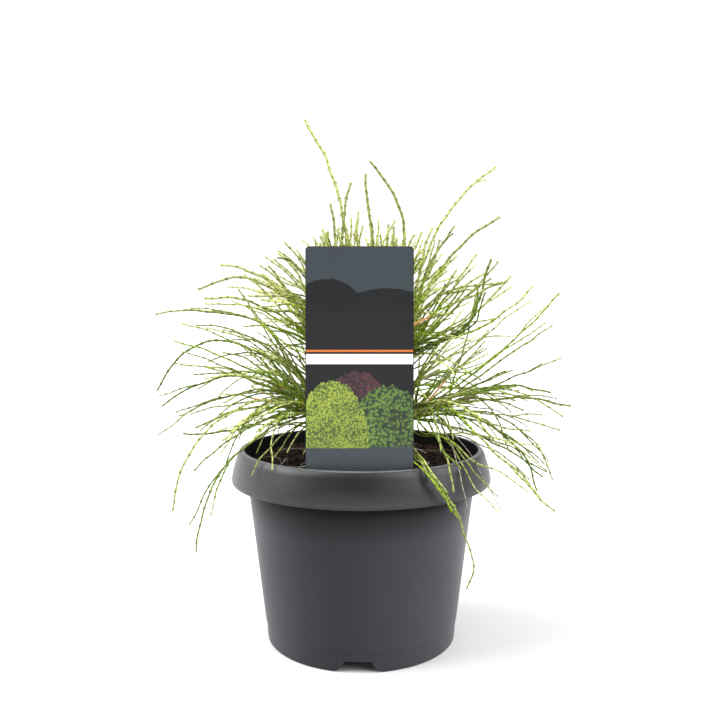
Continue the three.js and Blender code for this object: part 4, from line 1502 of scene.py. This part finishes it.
def add_node(tree, kind, inputs=(), **settings):
    """A node with its settings made, and each input linked to an output or set to a plain value."""
    node = tree.nodes.new(kind)
    for name, value in settings.items():
        setattr(node, name, value)
    for name, value in dict(inputs).items():
        if isinstance(value, bpy.types.NodeSocket):
            tree.links.new(value, node.inputs[name])
        else:
            node.inputs[name].default_value = value
    return node


def add_math(tree, operation, *values):
    return add_node(tree, "ShaderNodeMath", enumerate(values), operation=operation).outputs[0]


def add_mix(tree, blend, factor, a, b):
    inputs = {"Factor": factor, "A": a, "B": b}
    node = add_node(tree, "ShaderNodeMix", inputs, data_type="RGBA", blend_type=blend)
    return node.outputs["Result"]


def add_range(tree, value, from_low, from_high, to_low=0, to_high=1, kind="LINEAR"):
    """A value carried from one range over to another, and kept inside it."""
    inputs = {
        "Value": value, "From Min": from_low, "From Max": from_high, "To Min": to_low, "To Max": to_high}
    return add_node(tree, "ShaderNodeMapRange", inputs, interpolation_type=kind).outputs["Result"]


def add_ramp(tree, factor, stops):
    """Greys at places from 0 to 1, blended between them."""
    node = add_node(tree, "ShaderNodeValToRGB", {"Fac": factor})
    band = node.color_ramp
    band.elements.remove(band.elements[1])
    for i, (at, level) in enumerate(stops):
        element = band.elements[0] if i == 0 else band.elements.new(at)
        element.position = at
        element.color = (level, level, level, 1)
    return node.outputs["Color"]


def add_noise_swing(group, start, detail, amount):
    """Noise over the object, stretched and scaled by a group's inputs, and its swing about 0 by another."""
    place = add_node(group, "ShaderNodeTexCoord")
    stretched = add_node(
        group, "ShaderNodeVectorMath", {0: place.outputs["Object"], 1: start.outputs["Stretch"]},
        operation="MULTIPLY")
    inputs = {"Detail": detail, "Vector": stretched.outputs[0], "Scale": start.outputs["Scale"]}
    cloud = add_node(group, "ShaderNodeTexNoise", inputs).outputs["Fac"]
    centred = add_math(group, "SUBTRACT", cloud, 0.5)
    return cloud, add_math(group, "MULTIPLY", centred, start.outputs[amount])


def tone_drift_group():
    """A colour that drifts lighter and darker over the surface."""
    group, start, end = new_group(
        "tone_drift",
        [("Color", "NodeSocketColor", None), ("Scale", "NodeSocketFloat", 20.0),
         ("Amount", "NodeSocketFloat", 0.2), ("Stretch", "NodeSocketVector", (1, 1, 1))],
        [("Color", "NodeSocketColor")])
    _, swing = add_noise_swing(group, start, 4, "Amount")
    factor = add_math(group, "MULTIPLY_ADD", swing, 2.0, 1.0)
    tinted = add_node(
        group, "ShaderNodeVectorMath", {0: start.outputs["Color"]}, operation="SCALE")
    group.links.new(factor, tinted.inputs["Scale"])
    group.links.new(tinted.outputs[0], end.inputs["Color"])
    return group


def fine_grain_group():
    """The height of a fine grain, and a roughness that varies with it."""
    group, start, end = new_group(
        "fine_grain",
        [("Scale", "NodeSocketFloat", 900.0), ("Roughness", "NodeSocketFloat", 0.5),
         ("Spread", "NodeSocketFloat", 0.1), ("Stretch", "NodeSocketVector", (1, 1, 1))],
        [("Height", "NodeSocketFloat"), ("Roughness", "NodeSocketFloat")])
    grain, swing = add_noise_swing(group, start, 3, "Spread")
    group.links.new(grain, end.inputs["Height"])
    rough = add_math(group, "ADD", swing, start.outputs["Roughness"])
    group.links.new(rough, end.inputs["Roughness"])
    return group


GROUPS = {"tone_drift": tone_drift_group(), "fine_grain": fine_grain_group()}
RELIEF_DEPTH = 0.0005


def new_material(name, color, roughness, drift, grain, bump, stretch=(1, 1, 1), gloss=0.5):
    """A Principled material whose colour drifts and whose fine grain shows in its gloss and relief.

    The drift is a scale and an amount, and the grain a scale and a spread of the roughness."""
    material = bpy.data.materials.new(name)
    material.use_nodes = True
    tree = material.node_tree
    tone = add_node(
        tree, "ShaderNodeGroup", node_tree=GROUPS["tone_drift"],
        inputs={"Color": (*color, 1), "Scale": drift[0], "Amount": drift[1], "Stretch": stretch})
    fine = add_node(
        tree, "ShaderNodeGroup", node_tree=GROUPS["fine_grain"],
        inputs={"Scale": grain[0], "Roughness": roughness, "Spread": grain[1], "Stretch": stretch})
    relief = add_node(
        tree, "ShaderNodeBump",
        {"Strength": bump, "Distance": RELIEF_DEPTH, "Height": fine.outputs["Height"]})
    shader = tree.nodes["Principled BSDF"]
    shader.inputs["Specular IOR Level"].default_value = gloss
    tree.links.new(tone.outputs["Color"], shader.inputs["Base Color"])
    tree.links.new(fine.outputs["Roughness"], shader.inputs["Roughness"])
    tree.links.new(relief.outputs["Normal"], shader.inputs["Normal"])
    return material


def drifting_color(material):
    """A material's tree, its shader's colour socket and the drifting colour that goes into it."""
    socket = material.node_tree.nodes["Principled BSDF"].inputs["Base Color"]
    return material.node_tree, socket, socket.links[0].from_socket


# Greys at places from 0 to 1, painted light and shade in the pot's colour: across the pot from left to right,
# and up the pot from foot to rim
# Painted light and shade across the pot's body: lighter towards its left and right sides, darkest a little
# left of the middle
BODY_PAINTED_SIDE_LIGHT = (
    (0.12, 0.92), (0.17, 0.83), (0.3, 0.56), (0.4, 0.48), (0.5, 0.53), (0.6, 0.61), (0.77, 0.78), (0.86, 1))
# Painted shadow up the pot's body: darker towards the rim and near black just under it
BODY_PAINTED_RIM_SHADOW = ((0.64, 1), (0.76, 0.5), (0.8, 0.06), (0.832, 0.01))
# Painted light and shade across the rim: much lighter at its left, darkest near the middle, lighter again at
# its right
RIM_PAINTED_SIDE_LIGHT = ((0, 1), (0.12, 1), (0.25, 0.56), (0.36, 0.25), (0.47, 0.18), (0.58, 0.31), (0.8, 0.38), (1, 0.52))
# Painted highlight up the rim: a light line along its lower edge, fading out towards its top
RIM_LOWER_EDGE_PAINTED_HIGHLIGHT = ((0.83, 0.5), (0.85, 0.68), (0.872, 0.52), (0.9, 0.36), (0.94, 0.12), (1, 0))
POT_GRAIN = (1400, 0.08)


def make_pot_plastic(name, color, gloss, drift, across_stops, height_stops, blend):
    """Satin dark plastic, with painted light and shade in its colour by its place across the pot and by its
    height.
    """
    material = new_material(name, color, 0.36, drift, POT_GRAIN, 0.12, gloss=gloss)
    tree, socket, tone = drifting_color(material)
    place = add_node(tree, "ShaderNodeTexCoord")
    split = add_node(tree, "ShaderNodeSeparateXYZ", {0: place.outputs["Object"]})
    height = add_math(tree, "MULTIPLY", split.outputs["Z"], 1 / (POT_HEIGHT * M))
    across = add_math(tree, "MULTIPLY_ADD", split.outputs["X"], 0.5 / (RIM_RADIUS * M), 0.5)
    # Painted light and shade: greys by height and across the pot, blended, darken the colour
    share = add_mix(
        tree, blend, 1, add_ramp(tree, height, height_stops), add_ramp(tree, across, across_stops))
    tree.links.new(add_mix(tree, "MULTIPLY", 1, tone, share), socket)
    return material


def leafy_print(name, light, dark, size):
    """A print of small leaves: light dabs on a dark ground."""
    material = new_material(name, light, 0.35, (60, 0.3), (900, 0.05), 0.02)
    tree, socket, tone = drifting_color(material)
    place = add_node(tree, "ShaderNodeTexCoord").outputs["Object"]
    cells = add_node(tree, "ShaderNodeTexVoronoi", {"Scale": 1 / (size * M), "Vector": place})
    clumps = add_node(tree, "ShaderNodeTexNoise", {"Scale": 0.14 / (size * M), "Vector": place})
    shade = add_math(tree, "MULTIPLY", add_range(tree, cells.outputs["Distance"], 0.25, 0.75), 0.7)
    deep = add_math(tree, "MULTIPLY", clumps.outputs["Fac"], 0.75)
    tree.links.new(add_mix(tree, "MIX", add_math(tree, "ADD", shade, deep), tone, (*dark, 1)), socket)
    return material


# Smooth plastic and flat print: a colour, the scale and the amount of its drift, and a gloss
LABEL_LOOKS = {
    "label_slate": ((0.0079, 0.0083, 0.009), (12, 0.08), 0.25),
    "print_sky": ((0.027, 0.034, 0.04), (25, 0.12), 0.25),
    "print_foot": ((0.036, 0.044, 0.05), (25, 0.12), 0.25),
    "print_dark": ((0.0058, 0.0062, 0.007), (25, 0.1), 0.25),
    "print_white": ((0.62, 0.62, 0.61), (25, 0.03), 0.5),
    "print_orange": ((0.42, 0.1, 0.012), (25, 0.05), 0.5),
}
# Prints of leaves: light dabs, the dark ground and the size of a dab
LEAFY_LOOKS = {
    "print_maroon": ((0.08, 0.018, 0.027), (0.008, 0.003, 0.005), 2.6),
    "print_green": ((0.12, 0.23, 0.03), (0.006, 0.014, 0.004), 2.2),
    "print_lime": ((0.33, 0.4, 0.04), (0.04, 0.07, 0.008), 1.5),
}
# Crumbs of soil and bark: a colour, a roughness and a gloss
CRUMB_LOOKS = {
    "crumb_black": ((0.003, 0.0022, 0.002), 0.95, 0.06),
    "crumb_brown": ((0.014, 0.007, 0.0045), 0.95, 0.06),
    "crumb_bark": ((0.042, 0.02, 0.0115), 0.9, 0.1),
    "crumb_pale": ((0.075, 0.045, 0.027), 0.9, 0.1),
}
# The colour of a shoot and of its joints, by tint
SPRAY_TINTS = (
    ((0.345, 0.37, 0.12), (0.15, 0.165, 0.044)),
    ((0.22, 0.25, 0.07), (0.094, 0.112, 0.026)),
    ((0.108, 0.157, 0.018), (0.044, 0.067, 0.008)),
    ((0.25, 0.225, 0.18), (0.125, 0.108, 0.08)),
    ((0.195, 0.275, 0.018), (0.08, 0.122, 0.008)),
)
LEAF_TIP_COLOR = (0.33, 0.38, 0.085)
SPRAY_GRAIN = (2600, 0.1)
SPRAY_GLOSS = 0.16


def make_materials():
    """The materials, by the pieces that have them."""
    looks = {
        "pot": [
            # The body's plastic, with painted light at its sides and a painted shadow under the rim
            make_pot_plastic(
                "pot_plastic", (0.0474, 0.0486, 0.0548), 0.08, (9, 0.16),
                BODY_PAINTED_SIDE_LIGHT, BODY_PAINTED_RIM_SHADOW, "MULTIPLY"),
            # Painted shade: a near-black copy of the plastic for the inner wall
            new_material("pot_inside_painted_shade", (0.006, 0.006, 0.0065), 0.5, (9, 0.2), POT_GRAIN, 0.1, gloss=0.05),
            # Painted highlight: a lighter copy of the plastic for the rim's flat top by the mouth
            new_material("pot_mouth_edge_painted_highlight", (0.07, 0.07, 0.073), 0.4, (60, 0.6), POT_GRAIN, 0.1),
            # The rim's own copy of the plastic, with painted light and shade across it and a painted
            # highlight along its lower edge
            make_pot_plastic(
                "pot_rim_painted_light", (0.0375, 0.0383, 0.0418), 0.24, (42, 0.32),
                RIM_PAINTED_SIDE_LIGHT, RIM_LOWER_EDGE_PAINTED_HIGHLIGHT, "LIGHTEN"),
        ],
        "soil": new_material(
            "peat", (0.0042, 0.0027, 0.0021), 0.92, (260, 0.7), (1800, 0.1), 0.8, gloss=0.06),
        "bark": new_material(
            "trunk_bark", (0.09, 0.05, 0.026), 0.85, (420, 0.8), (2600, 0.15), 0.6, (1, 1, 0.25)),
        "crumbs": [
            new_material(name, color, roughness, (700, 0.5), (3000, 0.1), 0.5, gloss=gloss)
            for name, (color, roughness, gloss) in CRUMB_LOOKS.items()],
        "straws": [
            new_material("straw_grey", (0.26, 0.245, 0.22), 0.75, (400, 0.4), (2500, 0.1), 0.3),
            new_material("straw_brown", (0.085, 0.055, 0.032), 0.8, (400, 0.4), (2500, 0.1), 0.3),
        ],
        "wood": [
            new_material("young_bark", (0.56, 0.27, 0.1), 0.7, (500, 0.5), (2600, 0.12), 0.4, (1, 1, 0.5)),
            new_material("green_bark", (0.13, 0.13, 0.025), 0.65, (500, 0.4), (2600, 0.12), 0.3, (1, 1, 0.5)),
            new_material("stem_bark", (0.12, 0.075, 0.035), 0.75, (500, 0.5), (2600, 0.12), 0.4, (1, 1, 0.5)),
        ],
    }
    for name, (color, drift, gloss) in LABEL_LOOKS.items():
        looks[name] = new_material(name, color, 0.34, drift, (1500, 0.05), 0.03, gloss=gloss)
    for name, (light, dark, size) in LEAFY_LOOKS.items():
        looks[name] = leafy_print(name, light, dark, size)
    sprays = []
    for i, (blade, joint) in enumerate(SPRAY_TINTS):
        for name, color, roughness in ((f"shoot_{i}", blade, 0.55), (f"joint_{i}", joint, 0.6)):
            sprays.append(new_material(
                name, color, roughness, (180, 0.22), SPRAY_GRAIN, 0.12, gloss=SPRAY_GLOSS))
    sprays.append(new_material(
        "leaf_tip", LEAF_TIP_COLOR, 0.55, (180, 0.2), SPRAY_GRAIN, 0.1, gloss=SPRAY_GLOSS))
    looks["sprays"] = sprays
    return looks


# Floor, light and camera


FLOOR_SINK = 0.0002


def make_stage():
    """A wide plain floor just under the pot."""
    bpy.ops.mesh.primitive_plane_add(size=60, location=(0, 0, -FLOOR_SINK))
    floor = bpy.context.active_object
    floor.name = "floor"
    paint = bpy.data.materials.new("floor_paint")
    paint.use_nodes = True
    shader = paint.node_tree.nodes["Principled BSDF"]
    shader.inputs["Base Color"].default_value = (0.45, 0.45, 0.45, 1)
    shader.inputs["Roughness"].default_value = 0.7
    floor.data.materials.append(paint)


def add_sun(name, azimuth, elevation, strength, spread):
    """A soft light from far away, by the direction it comes from and how wide it looks, in degrees."""
    light = bpy.data.lights.new(name, "SUN")
    light.energy = strength
    light.angle = math.radians(spread)
    towards = Vector(pointing(azimuth, elevation))
    lamp = new_object(name, light)
    lamp.location = towards * 3
    lamp.rotation_euler = (-towards).to_track_quat("-Z", "Y").to_euler()


def make_light():
    """A room that is white low down and at the back, and dimmer high in front, with soft side lights."""
    world = bpy.data.worlds.new("studio")
    world.use_nodes = True
    tree = world.node_tree
    ground = tree.nodes["Background"]
    ground.inputs["Color"].default_value = (1, 1, 1, 1)
    place = add_node(tree, "ShaderNodeTexCoord")
    split = add_node(tree, "ShaderNodeSeparateXYZ", {0: place.outputs["Generated"]})
    depth = add_range(tree, split.outputs["Y"], -0.8, 0.4, 0.3, 1.1, "SMOOTHSTEP")
    horizon = add_range(tree, split.outputs["Z"], 0.28, 0.4, 1.1, 0)
    tree.links.new(add_math(tree, "MAXIMUM", depth, horizon), ground.inputs["Strength"])
    bpy.context.scene.world = world
    add_sun("left_light", 184, 46, 6.6, 50)
    add_sun("right_light", 340, 38, 5.2, 55)
    add_sun("top_light", 250, 80, 1.3, 80)
    bpy.context.scene.view_settings.view_transform = "Standard"


def make_camera():
    """The camera in front of the plant, tilted a little down."""
    camera = bpy.data.cameras.new("camera")
    camera.lens = CAMERA_LENS
    camera.clip_start = 0.01
    stand = new_object("camera", camera)
    stand.location = Vector(CAMERA_PLACE) * M
    stand.rotation_euler = (math.radians(90 - CAMERA_TILT), 0, 0)
    bpy.context.scene.camera = stand


# Putting it together


def put(piece, slot, *nodes):
    """The piece rides on the one body and stands for CAD nodes, which it hides. Its slot is not used."""
    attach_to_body(piece, "root")
    if nodes:
        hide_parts(*nodes)


looks = make_materials()
make_stage()
make_light()
make_camera()

put(make_pot(*looks["pot"]), "pot", "pot")
put(make_soil(looks["soil"]), "soil", "soil")
put(make_crumbs(looks["crumbs"]), "soil")
put(make_straws(looks["straws"]), "soil")
plate, *prints = make_label(looks)
put(plate, "label", "label")
for one in prints:
    put(one, "label")

masses = lay_out_masses()
limbs = (np.vstack([m["bough"][:-1] for m in masses]), np.vstack([m["bough"][1:] for m in masses]))
boughs = [f"bough_{m['name']}" for m in masses]
put(make_woody_frame(masses, looks["bark"]), "bark", "trunk", *boughs)
for index, mass in enumerate(masses):
    sprays, wood = grow_mass(mass, limbs, index)
    name = mass["name"]
    put(sprays.piece(f"sprays_{name}", looks["sprays"]), "foliage", f"foliage_{name}")
    put(wood.piece(f"twigs_{name}", looks["wood"]), "bark")
